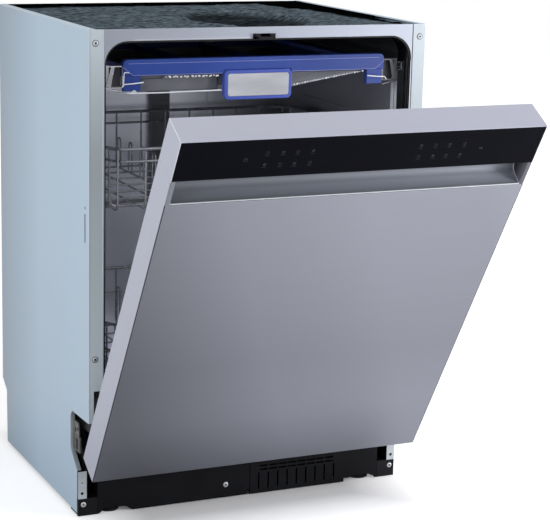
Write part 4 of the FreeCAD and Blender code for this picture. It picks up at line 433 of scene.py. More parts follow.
# Each finish by its key. A colour given as a word is a property of the panel.
RECIPES = {
    # Side sheet paint, darker towards the rear: painted shade.
    "side_paint": paint("painted_side_sheet", "side_sheet", fades=[((0, -1, 0), -0.50, -0.26, 0.68)]),
    # Front frame paint, darker towards the left: painted shade of light from the right.
    "frame_paint": paint("painted_front_frame", "front_frame", 0.4,
                         fades=[((1, 0, 0), -0.27, 0.27, 0.62)]),
    # Flange faces: a lighter copy of the side sheet paint, painted light, darkened by height and in a thin line at
    # the left flange's outer edge, painted shade.
    "flange_painted_light": paint("painted_front_flange", (0.82, 0.92, 1.0),
                          fades=[((0, 0, 1), 0.63, 0.79, 0.74), ((0, 0, -1), -0.60, -0.28, 0.63),
                                 ((-1, 0, 0), 0.2975, 0.2945, 0.80)]),
    # Lighter paint on rounded folds and thin edge strips: painted highlight.
    "fold_paint": paint("painted_fold", (0.58, 0.64, 0.72), 0.35, 0.4),
    "door_paint": paint("painted_door_edge", "door_paint", tone=(0.02, 4.0), bump=(0.04, 900.0)),
    "galvanised": recipe("galvanised_sheet", (0.50, 0.54, 0.58), 0.4, 0.6, (0.05, 140.0), 0.06,
                         (0.08, 300.0)),
    # Tub steel, darker towards the right and near the roof: painted shade.
    "tub_steel": recipe("stainless_tub", (0.84, 0.86, 0.95), 0.3, 0.6, (0.06, 5.0), 0.07,
                        (0.03, 120.0),
                        fades=[((-1, 0, 0), -0.23, 0.0, 0.35), ((0, 0, -1), -0.765, -0.70, 0.30)]),
    "liner_steel": recipe("stainless_liner", (0.46, 0.47, 0.50), 0.26, 0.9, (0.08, 5.0), 0.07,
                          (0.03, 120.0)),
    # Door steel, graded darker towards the lower left and a little at the top and upper right: painted shade and
    # painted reflection.
    "door_steel": recipe("brushed_steel_door", "door_steel", 0.3, 1.0, (0.012, 260.0), 0.03,
                         (0.03, 1500.0), stretch=(0.02, 1, 1),
                         fades=[((1, 0, 0.5), -0.17, 0.10, 0.60), ((-1, 0, -0.5), -0.53, -0.33, 0.83),
                                ((0, 0, -1), -0.30, -0.186, 0.85)]),
    # Grip steel, darker near the lip, at the back of the hollow and towards the left: painted shade.
    "grip_steel": brushed("grip_steel", (0.365, 0.39, 0.455), 0.45, 0.35, stretch=(0.02, 1, 1),
                          fades=[grip_shade_fade(0, 0.018, 0.30), grip_shade_fade(0.026, 0.020, 0.60),
                                 ((1, 0, 0), -0.29, 0.22, 0.69)]),
    # Outer end faces of the grip, the right one in a darker copy: painted shade.
    "end_steel": brushed("grip_end_steel", (0.24, 0.25, 0.29), 0.4, 0.35),
    "end_shade": brushed("grip_end_shade", (0.11, 0.11, 0.13), 0.4, 0.35),
    # Grip end walls, darker deeper in the hollow: painted shade.
    "end_wall": brushed("grip_end_wall", (0.19, 0.185, 0.22), 0.4, 0.2,
                        fades=[grip_shade_fade(0.024, 0.004, 0.08)]),
    # Pale steel on lips, edge strips and bevels: painted highlight.
    "lip": brushed("bright_lip", (0.66, 0.68, 0.72), 0.25, 0.3),
    "screw_steel": recipe("screw_steel", (0.52, 0.54, 0.57), 0.35, 0.3, (0.08, 300.0), 0.1,
                          (0.1, 900.0)),
    "rail_steel": recipe("rolled_rail_steel", (0.55, 0.56, 0.58), 0.24, 0.9, (0.1, 20.0), 0.08,
                         (0.06, 500.0), stretch=(1, 0.05, 1)),
    "filter_steel": recipe("woven_filter_steel", (0.42, 0.42, 0.43), 0.34, 1.0, (0.25, 900.0), 0.1,
                           (0.7, 1800.0)),
    "brass_grey": recipe("yellow_zinc_plate", (0.135, 0.137, 0.125), 0.42, 0.3, (0.25, 60.0), 0.12,
                         (0.12, 300.0)),
    "wire": recipe("coated_wire", "basket_wire", 0.26, 0.3, (0.12, 60.0), 0.08, (0.1, 800.0),
                   coat=0.4),
    # Near-white wire for bright steel: painted highlight.
    "bright_wire": recipe("bright_wire", (0.80, 0.82, 0.88), 0.25, 0.0, (0.10, 60.0), 0.08,
                          (0.1, 800.0), coat=0.4),
    "insert": recipe("pearl_insert", (0.36, 0.37, 0.40), 0.3, 0.1, (0.06, 7.0), 0.04, (0.02, 500.0),
                     stretch=(1, 1, 3), second=(0.56, 0.57, 0.61)),
    "glass": plastic("black_control_glass", (0.0030, 0.0033, 0.0060), 0.2, (0.1, 8.0), 0.02,
                     (0.0, 50.0), specular=0.03),
    "icon": plastic("printed_icons", (0.052, 0.054, 0.072), 0.5, (0.1, 300.0), 0.05, (0.0, 400.0),
                    specular=0.1),
    # Dark strips in gaps, along edges and round screw heads: painted shade.
    "seam": plastic("dark_seam", (0.045, 0.046, 0.055), 0.5, (0.2, 60.0), bump=(0.1, 900.0),
                    specular=0.2),
    "rubber": plastic("gasket_rubber", (0.003, 0.003, 0.0035), 0.22, (0.3, 40.0), 0.1, (0.12, 300.0),
                      specular=0.35),
    # Mat, darker in its hollows, painted shade, and nearly black along its rear and right edges.
    "bitumen": plastic("bitumen_mat", (0.025, 0.034, 0.042), 0.9, (0.6, 90.0), bump=(1.0, 300.0),
                       stretch=(1, 2.6, 1), specular=0.0, second=(0.120, 0.154, 0.180),
                       fades=[((0, 0, 1), 0.8075, 0.8165, 0.18), ((-0.05, 1, 0), 0.462, 0.447, 0.02),
                              ((1, 0.12, 0), 0.272, 0.258, 0.02)]),
    # Near-black for the band along the mat's rear and right edges.
    "tape": plastic("black_tape", (0.0012, 0.0014, 0.0016), 0.8, (0.4, 60.0), 0.1, (0.5, 300.0),
                    specular=0.0),
    "felt": plastic("felt_pad", (0.10, 0.10, 0.11), 0.95, (0.4, 90.0), 0.04, (1.0, 700.0),
                    specular=0.1),
    "black_plastic": plastic("black_moulding", (0.006, 0.006, 0.008), 0.42, (0.3, 30.0), 0.1,
                             (0.2, 700.0), specular=0.16),
    "black_sheet": plastic("black_base_moulding", (0.0042, 0.0044, 0.0062), 0.45, (0.3, 12.0),
                           bump=(0.15, 400.0), specular=0.12),
    "grey_plastic": plastic("grey_moulding", (0.22, 0.23, 0.25), 0.42, (0.08, 20.0)),
    "duct_grey": plastic("duct_moulding", (0.13, 0.135, 0.15), 0.42, bump=(0.15, 700.0)),
    "dark_plastic": plastic("dark_grey_moulding", (0.05, 0.052, 0.06), 0.45, (0.12, 20.0),
                            bump=(0.15, 700.0), specular=0.3),
    "white_plastic": plastic("white_moulding", (0.62, 0.63, 0.64), 0.4, (0.05, 20.0)),
    "trough_grey": plastic("trough_moulding", (0.15, 0.155, 0.17), 0.36, (0.08, 30.0),
                           bump=(0.1, 600.0)),
    "trough_front": plastic("trough_front_moulding", (0.125, 0.130, 0.145), 0.4, (0.25, 14.0),
                            bump=(0.1, 600.0), specular=0.3),
    "board": plastic("circuit_board", (0.012, 0.075, 0.03), 0.5, (0.5, 120.0), 0.1, (0.25, 500.0)),
    # Blue moulding, darker towards the right: painted shade.
    "blue": blue("blue_moulding", "tray_blue", 0.36, specular=0.3,
                 fades=[((-1, 0, 0), -0.24, 0.05, 0.72)]),
    "blue_light": blue("blue_handle_rim", (0.062, 0.098, 0.42), 0.34, specular=0.3),
    "blue_dark": blue("blue_moulding_rear", (0.024, 0.052, 0.25), 0.4, specular=0.25),
    # Light blue lines along the bar's edges: painted highlight.
    "blue_edge": blue("blue_edge_light", (0.28, 0.31, 0.62), 0.3),
}
FINISHES = {}


def finish(key):
    """Finish of a key. Each is made once and shared."""
    if key not in FINISHES:
        row = dict(RECIPES[key])
        if isinstance(row["colour"], str):
            row["colour"] = getattr(bpy.context.scene.dishwasher_colours, row["colour"])
        FINISHES[key] = surface(**row)
    return FINISHES[key]


# Sizes and colours a user would change

def length_property(name, description, value, least, most):
    """Length of the panel, in metres."""
    return FloatProperty(name=name, description=description, default=value, min=least, max=most,
                         unit="LENGTH")


class DishwasherSizes(bpy.types.PropertyGroup):
    edge_round: length_property("Edge rounding", "Rounding of folded sheet edges",
                                0.0009, 0.0002, 0.002)
    wire_bend: length_property("Wire bend", "Bend radius of the basket wires", 0.014, 0.004, 0.02)
    rim_bend: length_property("Rim bend", "Corner radius of the basket rims", 0.046, 0.01, 0.06)
    mat_waves: length_property("Mat waves", "Height of the waves in the top mat",
                               0.0042, 0.0, 0.006)
    mat_hollow: length_property("Mat hollow", "Depth of the hollow in the top mat",
                                0.009, 0.0, 0.011)
    nozzles: IntProperty(name="Nozzles", description="Nozzles on each blade of a spray arm",
                         default=5, min=2, max=8)
    foot_threads: IntProperty(name="Foot threads", description="Thread turns on a levelling foot",
                              default=14, min=6, max=24)


def colour_property(name, description, value):
    """Colour of the panel."""
    return FloatVectorProperty(name=name, description=description, subtype="COLOR", size=3,
                               min=0, max=1, default=value)


class DishwasherColours(bpy.types.PropertyGroup):
    side_sheet: colour_property("Side sheets", "Paint of the side sheets", (0.452, 0.575, 0.698))
    front_frame: colour_property("Front frame", "Paint of the front frame", (0.51, 0.55, 0.645))
    door_steel: colour_property("Door steel", "Brushed steel of the door front",
                                (0.416, 0.429, 0.495))
    door_paint: colour_property("Door edges", "Paint of the door's sides and top",
                                (0.455, 0.468, 0.560))
    tray_blue: colour_property("Tray blue", "Blue plastic of the cutlery tray", (0.026, 0.062, 0.30))
    basket_wire: colour_property("Basket wire", "Coating of the basket wires", (0.24, 0.25, 0.28))


# Operators, one for each piece or group of like pieces

class PieceOperator:
    """Base of the operators: each makes its pieces and can be undone."""
    bl_options = {"REGISTER", "UNDO"}

    def execute(self, context):
        self.make()
        return {"FINISHED"}


class DISHWASHER_OT_side_sheets(PieceOperator, bpy.types.Operator):
    """Side sheets with folded edges, and the folded rims of their hinge notches"""
    bl_idname = "dishwasher.side_sheets"
    bl_label = "Side Sheets"

    def make(self):
        for side, sign in SIDES:
            node = "side_panel_" + side
            low, high = limits(node)
            outer = high.x if sign > 0 else low.x
            bm = soft_mesh(node, 0)
            corner = [edge for edge in sharp_edges(bm)
                      if all(abs(v.co.x - outer) < 0.01 for v in edge.verts)
                      and (all(abs(v.co.y - low.y) < 0.01 for v in edge.verts)
                           or all(abs(v.co.z - high.z) < 0.01 for v in edge.verts))]
            # Flange faces take the lighter flange copy of the paint: painted light.
            for face in bm.faces:
                flange = face.normal.y < -0.9 and face.calc_center_median().y < 0.5
                face.material_index = 1 if flange else 0
            # The front and roof corner bevels take the lighter fold paint: painted highlight.
            bevelled(bm, corner, sizes().edge_round * 1000, 3, 2)
            finish_piece(node + "_sheet", bm, "cabinet",
                         ["side_paint", "flange_painted_light", "fold_paint"],
                         (node,), merge=0.0)
            self.notch_rim(side, sign, outer)
            self.folds(side, sign, outer, high)

    def folds(self, side, sign, outer, high):
        """Lighter strips along the roof edges and the inner edges of the front flanges, painted highlight, and
        dark strips at the roof's front corners and the right flange, painted shade.
        """
        edge = abs(outer)
        fold = 4.2 if sign < 0 else 1.6
        bm = side_block(sign, edge - fold, edge - 0.9,
                        (1.2, high.z - 0.7), (high.y - 4, high.z - 0.02), 0.3)
        if sign < 0:
            merged(bm, block((-276.2, -0.7, 176), (-274.6, 0.3, high.z - 0.6), 0.4))
        else:
            merged(bm, block((272.3, -0.3, 192), (273.4, 0.4, 758), 0.3))
        finish_piece("sheet_folds_" + side, bm, "cabinet", "fold_paint", merge=0.0)
        # Dark strips at the roof's front corner and along the right flange's inner edge: painted shade.
        bm = side_block(sign, edge - 22, edge - 2.5, (1.1, high.z - 1.0), (4.5, high.z - 0.3))
        if sign > 0:
            merged(bm, block((274.3, -0.25, 176), (275.9, 0.3, high.z - 0.6), 0.1))
        finish_piece("sheet_seams_" + side, bm, "cabinet", "seam", merge=0.0)

    def notch_rim(self, side, sign, outer):
        """Strip folded inwards along the rear and lower edges of the hinge notch."""
        inner = abs(outer) - 1
        depth = 94
        edge = [(depth - 8, 177), (depth, 167), (depth, 109), (60, 80)]
        thick = [(depth - 6.5, 178), (depth + 1.2, 167.4), (depth + 1.2, 108.4), (61, 79)]
        bm = side_prism(edge + thick[::-1], sign, inner - 7, inner, 0.3, 1)
        finish_piece("notch_rim_" + side, bm, "cabinet", "galvanised")


class DISHWASHER_OT_tub(PieceOperator, bpy.types.Operator):
    """Steel tub with its front frame, beads pressed into its walls and the rear sheet"""
    bl_idname = "dishwasher.tub"
    bl_label = "Tub"

    def make(self):
        bm = soft_mesh("tub", 0)
        for face in bm.faces:
            front = face.calc_center_median().y < 1.2 and abs(face.normal.y) > 0.9
            face.material_index = 0 if front else 1
        finish_piece("tub_shell", bm, "cabinet", ["frame_paint", "tub_steel"], ("tub",),
                     merge=0.0)
        opening = limits("door_gasket")[1]
        half, depth = opening.x, limits("feed_pipe")[1].y
        bm = bmesh.new()
        for sign in SIGNS:
            for z in (330, 396, 640):
                merged(bm, side_block(sign, half - 1.2, half,
                                      (70, z - 9), (depth - 60, z + 9), 1.15, 3))
        for x in (-190, -110, 110, 190):
            merged(bm, block((x - 11, depth - 1.4, 250), (x + 11, depth, 700), 1.3, 3))
        finish_piece("tub_beads", bm, "cabinet", "tub_steel")
        # Near-white beads on the tub's side walls by the opening: painted highlight.
        bm = bmesh.new()
        for sign in SIGNS:
            for front, back in ((46, 54), (57, 67)):
                merged(bm, side_block(sign, half - 0.9, half, (front, 250), (back, 736), 0.8, 3))
        finish_piece("tub_edge_beads", bm, "cabinet", "bright_wire", merge=0.0)
        # Pale strip along the top edge of the opening: painted highlight.
        roof = opening.z + 1
        bm = block((-225, -0.3, roof + 0.1), (limits("latch_striker")[0].x - 4, 0.2, roof + 1.2), 0.2)
        finish_piece("frame_lip", bm, "cabinet", "lip", merge=0.0)
        soft_copy("rear_cover", 0.4, "galvanised")


class DISHWASHER_OT_insulation(PieceOperator, bpy.types.Operator):
    """Crumpled mat on the tub, felt pads on its sides and in the door"""
    bl_idname = "dishwasher.insulation"
    bl_label = "Insulation"

    def make(self):
        self.top_mat()
        for node in ("side_insulation", "door_insulation"):
            self.pads(node)

    def top_mat(self):
        """Mat with waves, creases and a hollow, and a near-black band along its rear and right edges."""
        low, high = limits("top_insulation")
        roof = limits("side_panel_left")[1].z
        waves, hollow = sizes().mat_waves * 1000, sizes().mat_hollow * 1000
        bm = bmesh.new()
        bmesh.ops.create_grid(bm, x_segments=150, y_segments=120, size=0.5)
        bmesh.ops.scale(bm, vec=(high.x - low.x, high.y - low.y, 1), verts=bm.verts)
        bmesh.ops.translate(bm, vec=((low.x + high.x) / 2, (low.y + high.y) / 2, 0),
                            verts=bm.verts)
        for vert in bm.verts:
            x, y = vert.co.x, vert.co.y
            long_waves = noise.fractal(Vector((x / 170, y / 60, 1.7)), 1.0, 2.1, 4)
            creases = 1 - abs(noise.noise(Vector((x / 60 + 0.35 * long_waves, y / 34, 4.2)))) * 2
            across, deep = (x - 40) / 105, (y - 180) / 165
            bend = 0.25 * noise.noise(Vector((x / 45, y / 45, 8.1)))
            dip = max(0.0, 1 - max(0.0, across * across + deep * deep + bend) ** 2.2)
            edge = min(1.0, (y - low.y) / 14, (high.y - y) / 8, (high.x - abs(x)) / 8)
            height = high.z - 0.5 + waves * (0.5 * long_waves + 0.35 * max(0, creases) ** 3)
            height += 0.25 * noise.noise(Vector((x / 7, y / 9, 2.5)))
            height -= hollow * min(1.0, 1.9 * dip) + 2.0 * (1 - max(0.0, edge))
            height += 1.6 * math.exp(-((across + 1.02) ** 2 * 40 + (deep - 0.2) ** 2 * 6))
            vert.co.z = max(low.z + 2.5, min(height, roof - 0.4))
        grown = bmesh.ops.extrude_face_region(bm, geom=bm.faces[:])["geom"]
        for vert in only(grown, bmesh.types.BMVert):
            vert.co.z = low.z + 0.3
        piece = finish_piece("top_mat", bm, "cabinet", "bitumen", ("top_insulation",), angle=60)
        edge = [(298.0, 70), (298.0, high.y), (186, high.y), (204, 430), (226, 335), (256, 245),
                (288, 160)]
        bm = prism(edge, 2, high.z - 0.4, roof - 0.1, 0.8, 2)
        merged(bm, block((low.x + 1, high.y - 25, high.z - 0.4), (240, high.y, roof - 0.1), 0.8, 2))
        finish_piece("mat_tape", bm, "cabinet", "tape", merge=0.0)

    def pads(self, node):
        """Felt pads with soft edges and uneven faces."""
        bm = soft_mesh(node, 0)
        bmesh.ops.subdivide_edges(bm, edges=bm.edges, cuts=9, use_grid_fill=True)
        bevelled(bm, sharp_edges(bm), 2.0, 2)
        low, high = limits(node)
        uneven, patch, apart, room = 1.1, 70, 9.7, 0.3
        for vert in bm.verts:
            place = vert.co / patch
            shift = [uneven * noise.noise(place + Vector((0, 0, apart * axis))) for axis in range(3)]
            vert.co = [max(low[i] + room, min(vert.co[i] + shift[i], high[i] - room))
                       for i in range(3)]
        piece = finish_piece(node + "_felt", bm, BODY_OF[node], "felt", (node,), angle=60,
                             merge=0.0)


class DISHWASHER_OT_gasket(PieceOperator, bpy.types.Operator):
    """Ribbed rubber gasket along the sides and top of the tub opening"""
    bl_idname = "dishwasher.gasket"
    bl_label = "Door Gasket"

    def make(self):
        low, high = limits("door_gasket")
        corner = 38
        ribs = [(0, 0), (0, 2.9), (3, 2.9), (4.5, 1.3), (7, 1.3), (8.5, 2.9), (11.5, 2.9), (13, 1.3),
                (16, 1.3), (18.5, 2.6), (24, 1.2), (24, 0)]

        def profile(start):
            return [(start.x + rise - 0.02, start.y + run, start.z) for run, rise in ribs]

        top = Vector((high.x - corner, 0, high.z - corner))
        rise = top.z - low.z
        moves = [("run", (0, 0, rise)),
                 ("turn", ((-top.x, 0, top.z), (0, 1, 0), math.pi / 2, 12)),
                 ("run", (2 * top.x, 0, 0)),
                 ("turn", ((top.x, 0, top.z), (0, 1, 0), math.pi / 2, 12)),
                 ("run", (0, 0, -rise))]
        bm = swept(profile, moves, low)
        finish_piece("gasket_profile", bm, "cabinet", "rubber", ("door_gasket",), angle=40)

        def flap(start):
            return [(start.x + rise, start.y + run, start.z)
                    for run, rise in ((24, 0.05), (24, 0.9), (43, 0.5), (44, 0.05))]

        finish_piece("gasket_flap", swept(flap, moves, low), "cabinet", "rubber")
        soft_copy("latch_striker", 0.6, "black_plastic")


class DISHWASHER_OT_base(PieceOperator, bpy.types.Operator):
    """Base tray, plinth with its grille, end blocks and feet"""
    bl_idname = "dishwasher.base"
    bl_label = "Base and Plinth"

    def make(self):
        soft_copy("base_tray", 0.8, "black_sheet")
        soft_copy("base_end_blocks", 1.0, "black_plastic")
        soft_copy("plinth_grille", 0.5, "black_sheet")
        self.plinth()
        for node in ("front_foot_left", "front_foot_right", "rear_foot"):
            self.foot(node)

    def plinth(self):
        """Kick plate with the notches in its lower edge, its returns and the bead along its top."""
        low, high = limits("plinth_panel")
        vent_low, vent_high = limits("plinth_grille")
        bottom, rise = low.z, low.z + 8
        outline = [(low.x, bottom), (-262, bottom), (-256, bottom + 5), (-254, rise), (-219, rise),
                   (-213, rise - 1), (-208, bottom + 3), (-203, bottom), (-140, bottom),
                   (vent_low.x - 6.5, bottom), (vent_low.x - 6, rise + 0.5),
                   (vent_low.x - 1, rise + 0.5), (vent_low.x, rise + 0.5), (vent_low.x, vent_high.z),
                   (vent_high.x, vent_high.z), (vent_high.x, bottom + 5.5), (208, rise - 2.5),
                   (214, rise - 1), (219, rise), (248, rise), (254, rise - 3), (257, bottom + 4),
                   (261, bottom),
                   (high.x, bottom), (high.x, high.z), (low.x, high.z)]
        bm = prism(outline, 1, low.y, low.y + 3, 0.5, 2)
        for sign in SIGNS:
            merged(bm, side_block(sign, high.x - 3, high.x,
                                  (low.y + 2.8, rise), (high.y, high.z), 0.5))
        merged(bm, block((low.x + 4, low.y - 0.8, high.z - 9),
                         (high.x - 4, low.y + 0.2, high.z - 6), 0.4))
        finish_piece("plinth_moulding", bm, "cabinet", "black_sheet",
                     ("plinth_panel",))

    def foot(self, node):
        """Turned foot: a pad with a neck and a threaded stem."""
        low, high = limits(node)
        x, y = (low.x + high.x) / 2, (low.y + high.y) / 2
        radius = (high.x - low.x) / 2
        pad, stem = 5.7, 5.0
        profile = [(0, 0), (radius - 1, 0), (radius, 1), (radius, pad - 1.6), (radius - 1, pad - 0.2),
                   (8, pad), (stem - 0.1, pad + 0.1), (stem - 0.1, pad + 5.2)]
        turns = sizes().foot_threads
        pitch = (high.z - pad - 8) / turns
        for turn in range(turns):
            foot = pad + 6 + turn * pitch
            profile += [(stem - 0.9, foot), (stem - 0.9, foot + 0.25 * pitch),
                        (stem - 0.05, foot + 0.6 * pitch), (stem - 0.05, foot + 0.75 * pitch)]
        profile += [(stem - 1, high.z), (0, high.z)]
        bm = turned(profile, (x, y, 0), (0, 0, 1), 28)
        finish_piece(node + "_turned", bm, BODY_OF[node], "black_plastic", (node,))


class DISHWASHER_OT_hinges(PieceOperator, bpy.types.Operator):
    """Hinge brackets, springs, arms and the plated hooks behind the notches"""
    bl_idname = "dishwasher.hinges"
    bl_label = "Hinges"

    def make(self):
        bm = soft_mesh("hinge_brackets", 0.3, 2)
        plate_front = limits("plinth_panel")[0].y
        for face in bm.faces:
            centre = face.calc_center_median()
            strip = centre.y < plate_front + 1.6 and centre.z < 80
            face.material_index = 0 if strip or abs(centre.x) < 284 else 1
        finish_piece("hinge_plates", bm, "cabinet", ["galvanised", "black_sheet"],
                     ("hinge_brackets",), merge=0.0)
        self.hooks()
        self.springs()
        soft_copy("hinge_arms", 0.6, "galvanised")

    def hooks(self):
        """Plated catch behind each notch, in two steps; its two round holes and its slot are dark discs and a dark
        plate on its face, painted shade.
        """
        inner, face = 291.5, 293.5
        lower = [(60, 109), (93, 109), (93, 136), (60, 136)]
        upper = [(65, 134), (91, 134), (91, 160), (69, 160)]
        slot = [(70, 112), (82, 112), (82, 131), (70, 131)]
        beads = (((60, 109), (93, 111)), ((60, 133.5), (93, 136)), ((66, 157), (91, 159.5)),
                 ((60, 110), (62, 135)), ((91, 110), (93, 135)))
        plates, hole_shade = bmesh.new(), bmesh.new()
        for sign in SIGNS:
            for step in (lower, upper):
                merged(plates, side_prism(step, sign, inner, face, 1.2, 2, along(0)))
            for low, high in beads:
                merged(plates, side_block(sign, face - 0.1, face + 1.1, low, high, 0.5))
            merged(hole_shade, side_prism(slot, sign, face - 0.1, face + 0.3, 1.5, 2, along(0)))
            for y, z, radius in ((72, 148, 3.0), (84, 144, 3.8)):
                merged(hole_shade, turned([(0, 0), (radius, 0), (radius, 0.3), (0, 0.3)],
                                     (sign * face, y, z), (sign, 0, 0), 16))
        finish_piece("hinge_hooks", plates, "cabinet", "brass_grey", merge=0.0)
        finish_piece("hinge_hook_holes", hole_shade, "cabinet", "black_plastic", merge=0.0)

    def springs(self):
        """Coiled springs with straight ends."""
        low, high = limits("door_springs")
        paths = []
        z = (low.z + high.z) / 2
        turns, first, last, radius, steps = 26, 150, 330, 6.6, 10
        for sign in SIGNS:
            x = sign * (high.x - 8)
            line = [(x, low.y, z), (x, first - 5, z)]
            for index in range(turns * steps + 1):
                angle = index / steps * 2 * math.pi
                y = first + (last - first) * index / (turns * steps)
                line.append((x + radius * math.sin(angle), y, z + radius * math.cos(angle)))
            line += [(x, last + 5, z), (x, high.y, z)]
            paths.append((line, 1.3, False))
        finish_piece("spring_coils", wires(paths, 1), "cabinet", "galvanised",
                     ("door_springs",))


class DISHWASHER_OT_screws(PieceOperator, bpy.types.Operator):
    """Pan-head screws with a recess, on the places of the CAD screws"""
    bl_idname = "dishwasher.screws"
    bl_label = "Screws"

    def make(self):
        head = [(1.7, -0.9), (1.9, -0.1), (2.4, 0.0), (3.6, -0.25), (4.4, -0.9), (4.5, -1.45),
                (2.0, -1.45), (2.0, -7.2), (0, -7.5), (0, -0.9)]
        # The dark recess disc and the dark ring round each head are painted shade.
        recess = [(0, -0.88), (1.72, -0.88), (1.72, -0.5), (0, -0.6)]
        shadow = [(4.5, -1.42), (5.4, -1.42), (5.4, -1.3), (4.5, -1.2)]
        out = (0, -1, 0)
        bm, dark = bmesh.new(), bmesh.new()
        for place in self.places():
            merged(bm, turned(head, place, out, 24))
            merged(dark, turned(recess, place, out, 16))
            merged(dark, turned(shadow, place, out, 24))
        finish_piece("screw_set", bm, "cabinet", "screw_steel", ("panel_screws",))
        finish_piece("screw_recesses", dark, "cabinet", "seam")

    def places(self):
        """Middle of each CAD screw's face, from the groups of vertices that hang together."""
        source = bmesh.new()
        source.from_mesh(frame["nodes"]["panel_screws"].data)
        bmesh.ops.scale(source, vec=(1000, 1000, 1000), verts=source.verts)
        bmesh.ops.remove_doubles(source, verts=source.verts, dist=0.005)
        todo = set(source.verts)
        found = []
        while todo:
            group, queue = [], [todo.pop()]
            while queue:
                vert = queue.pop()
                group.append(vert.co)
                for edge in vert.link_edges:
                    other = edge.other_vert(vert)
                    if other in todo:
                        todo.remove(other)
                        queue.append(other)
            x = (min(p.x for p in group) + max(p.x for p in group)) / 2
            z = (min(p.z for p in group) + max(p.z for p in group)) / 2
            found.append((x, min(p.y for p in group), z))
        source.free()
        return sorted(found)


class DISHWASHER_OT_door_shell(PieceOperator, bpy.types.Operator):
    """Outer panel, side walls and top cap of the door"""
    bl_idname = "dishwasher.door_shell"
    bl_label = "Door Shell"

    def make(self):
        edge = sizes().edge_round * 1000
        low, high = limits("door_outer_panel")
        bm = soft_mesh("door_outer_panel", 0)
        front = [item for item in sharp_edges(bm)
                 if all(abs(v.co.y - low.y) < 0.01 for v in item.verts)]
        bevelled(bm, front, min(edge, 0.9), 3)
        # A thin strip along each side edge of the panel takes the dark shade line: painted shade in the gap to the
        # side walls.
        for sign in SIGNS:
            geom = bm.verts[:] + bm.edges[:] + bm.faces[:]
            bmesh.ops.bisect_plane(bm, geom=geom, dist=0.0001, plane_co=(sign * (high.x - 1.5), 0, 0),
                                   plane_no=(sign, 0, 0))
        for face in bm.faces:
            face.material_index = 1 if abs(face.calc_center_median().x) > high.x - 1.5 else 0
        finish_piece("door_face", bm, "door", ["door_steel", "seam"],
                     ("door_outer_panel",), merge=0.0)
        soft_copy("door_side_walls", 0.45, "door_paint")
        bm = soft_mesh("door_top_cap", 0)
        cap_low, cap_high = limits("door_top_cap")
        ends = [item for item in sharp_edges(bm)
                if any(all(abs(v.co.x - x) < 0.01 for v in item.verts)
                       for x in (cap_low.x, cap_high.x))]
        # The bevels at the cap's ends take the pale lip finish: painted highlight.
        bevelled(bm, ends, edge, 3, 1)
        bevelled(bm, [item for item in sharp_edges(bm) if along(0)(item)], edge * 0.6, 2)
        finish_piece("door_cap", bm, "door", ["door_paint", "lip"],
                     ("door_top_cap",), merge=0.0)


class DISHWASHER_OT_grip(PieceOperator, bpy.types.Operator):
    """Full-width grip recess, a smooth hollow with its lip and end lines in pale steel, painted highlight"""
    bl_idname = "dishwasher.grip"
    bl_label = "Grip Recess"

    def make(self):
        low, high = limits("handle_recess")
        glass_low = limits("control_fascia")[0].z
        front, back = low.y, high.y
        bottom = low.z
        lip = bottom + 2.5
        corners = [(0, front + 0.1, lip), (0, back - 1.6, lip + 7.5), (0, back - 1.6, glass_low),
                   (0, front + 4, glass_low)]
        inside = [(place.y, place.z) for place in filleted(corners, 15, 12)]
        outside = [(front + 4, high.z), (back - 11, high.z), (back - 2, glass_low - 6),
                   (back, lip + 18), (back - 4, lip + 5), (front + 10, bottom + 0.6),
                   (front + 1, bottom), (front + 0.1, bottom)]
        reach = 290
        bm = prism(inside + outside, 0, -reach, reach)
        for sign in SIGNS:
            for near, far, top in ((front, front + 4, glass_low), (front + 4, back, high.z)):
                merged(bm, side_block(sign, reach, high.x, (near, bottom), (far, top), 0.4))
        # Outer end faces: the left in end steel, the right in its darker copy, painted shade.
        for face in bm.faces:
            centre = face.calc_center_median()
            outer = abs(centre.x) > reach - 0.5
            wall = abs(face.normal.x) > 0.9 and abs(centre.x) < reach + 0.5
            face.material_index = 0 if not outer else 1 if wall else 2 if centre.x < 0 else 3
        coats = ("grip_steel", "end_wall", "end_steel", "end_shade")
        finish_piece("grip_hollow", bm, "door", coats, ("handle_recess",), merge=0.0)
        # The lip strip is in the pale finish: painted highlight.
        bm = block((-reach, front - 0.2, lip - 1.3), (reach, front + 1.5, lip + 0.3), 0.45, 3)
        finish_piece("grip_lip", bm, "door", "lip", merge=0.0)
        # Pale lines round the ends of the hollow: painted highlight.
        ends = [([(sign * (reach - 0.6), y, z + 0.3) for y, z in inside[:14]], 0.8, False)
                for sign in SIGNS]
        finish_piece("grip_end_lines", wires(ends, 1), "door", "lip")


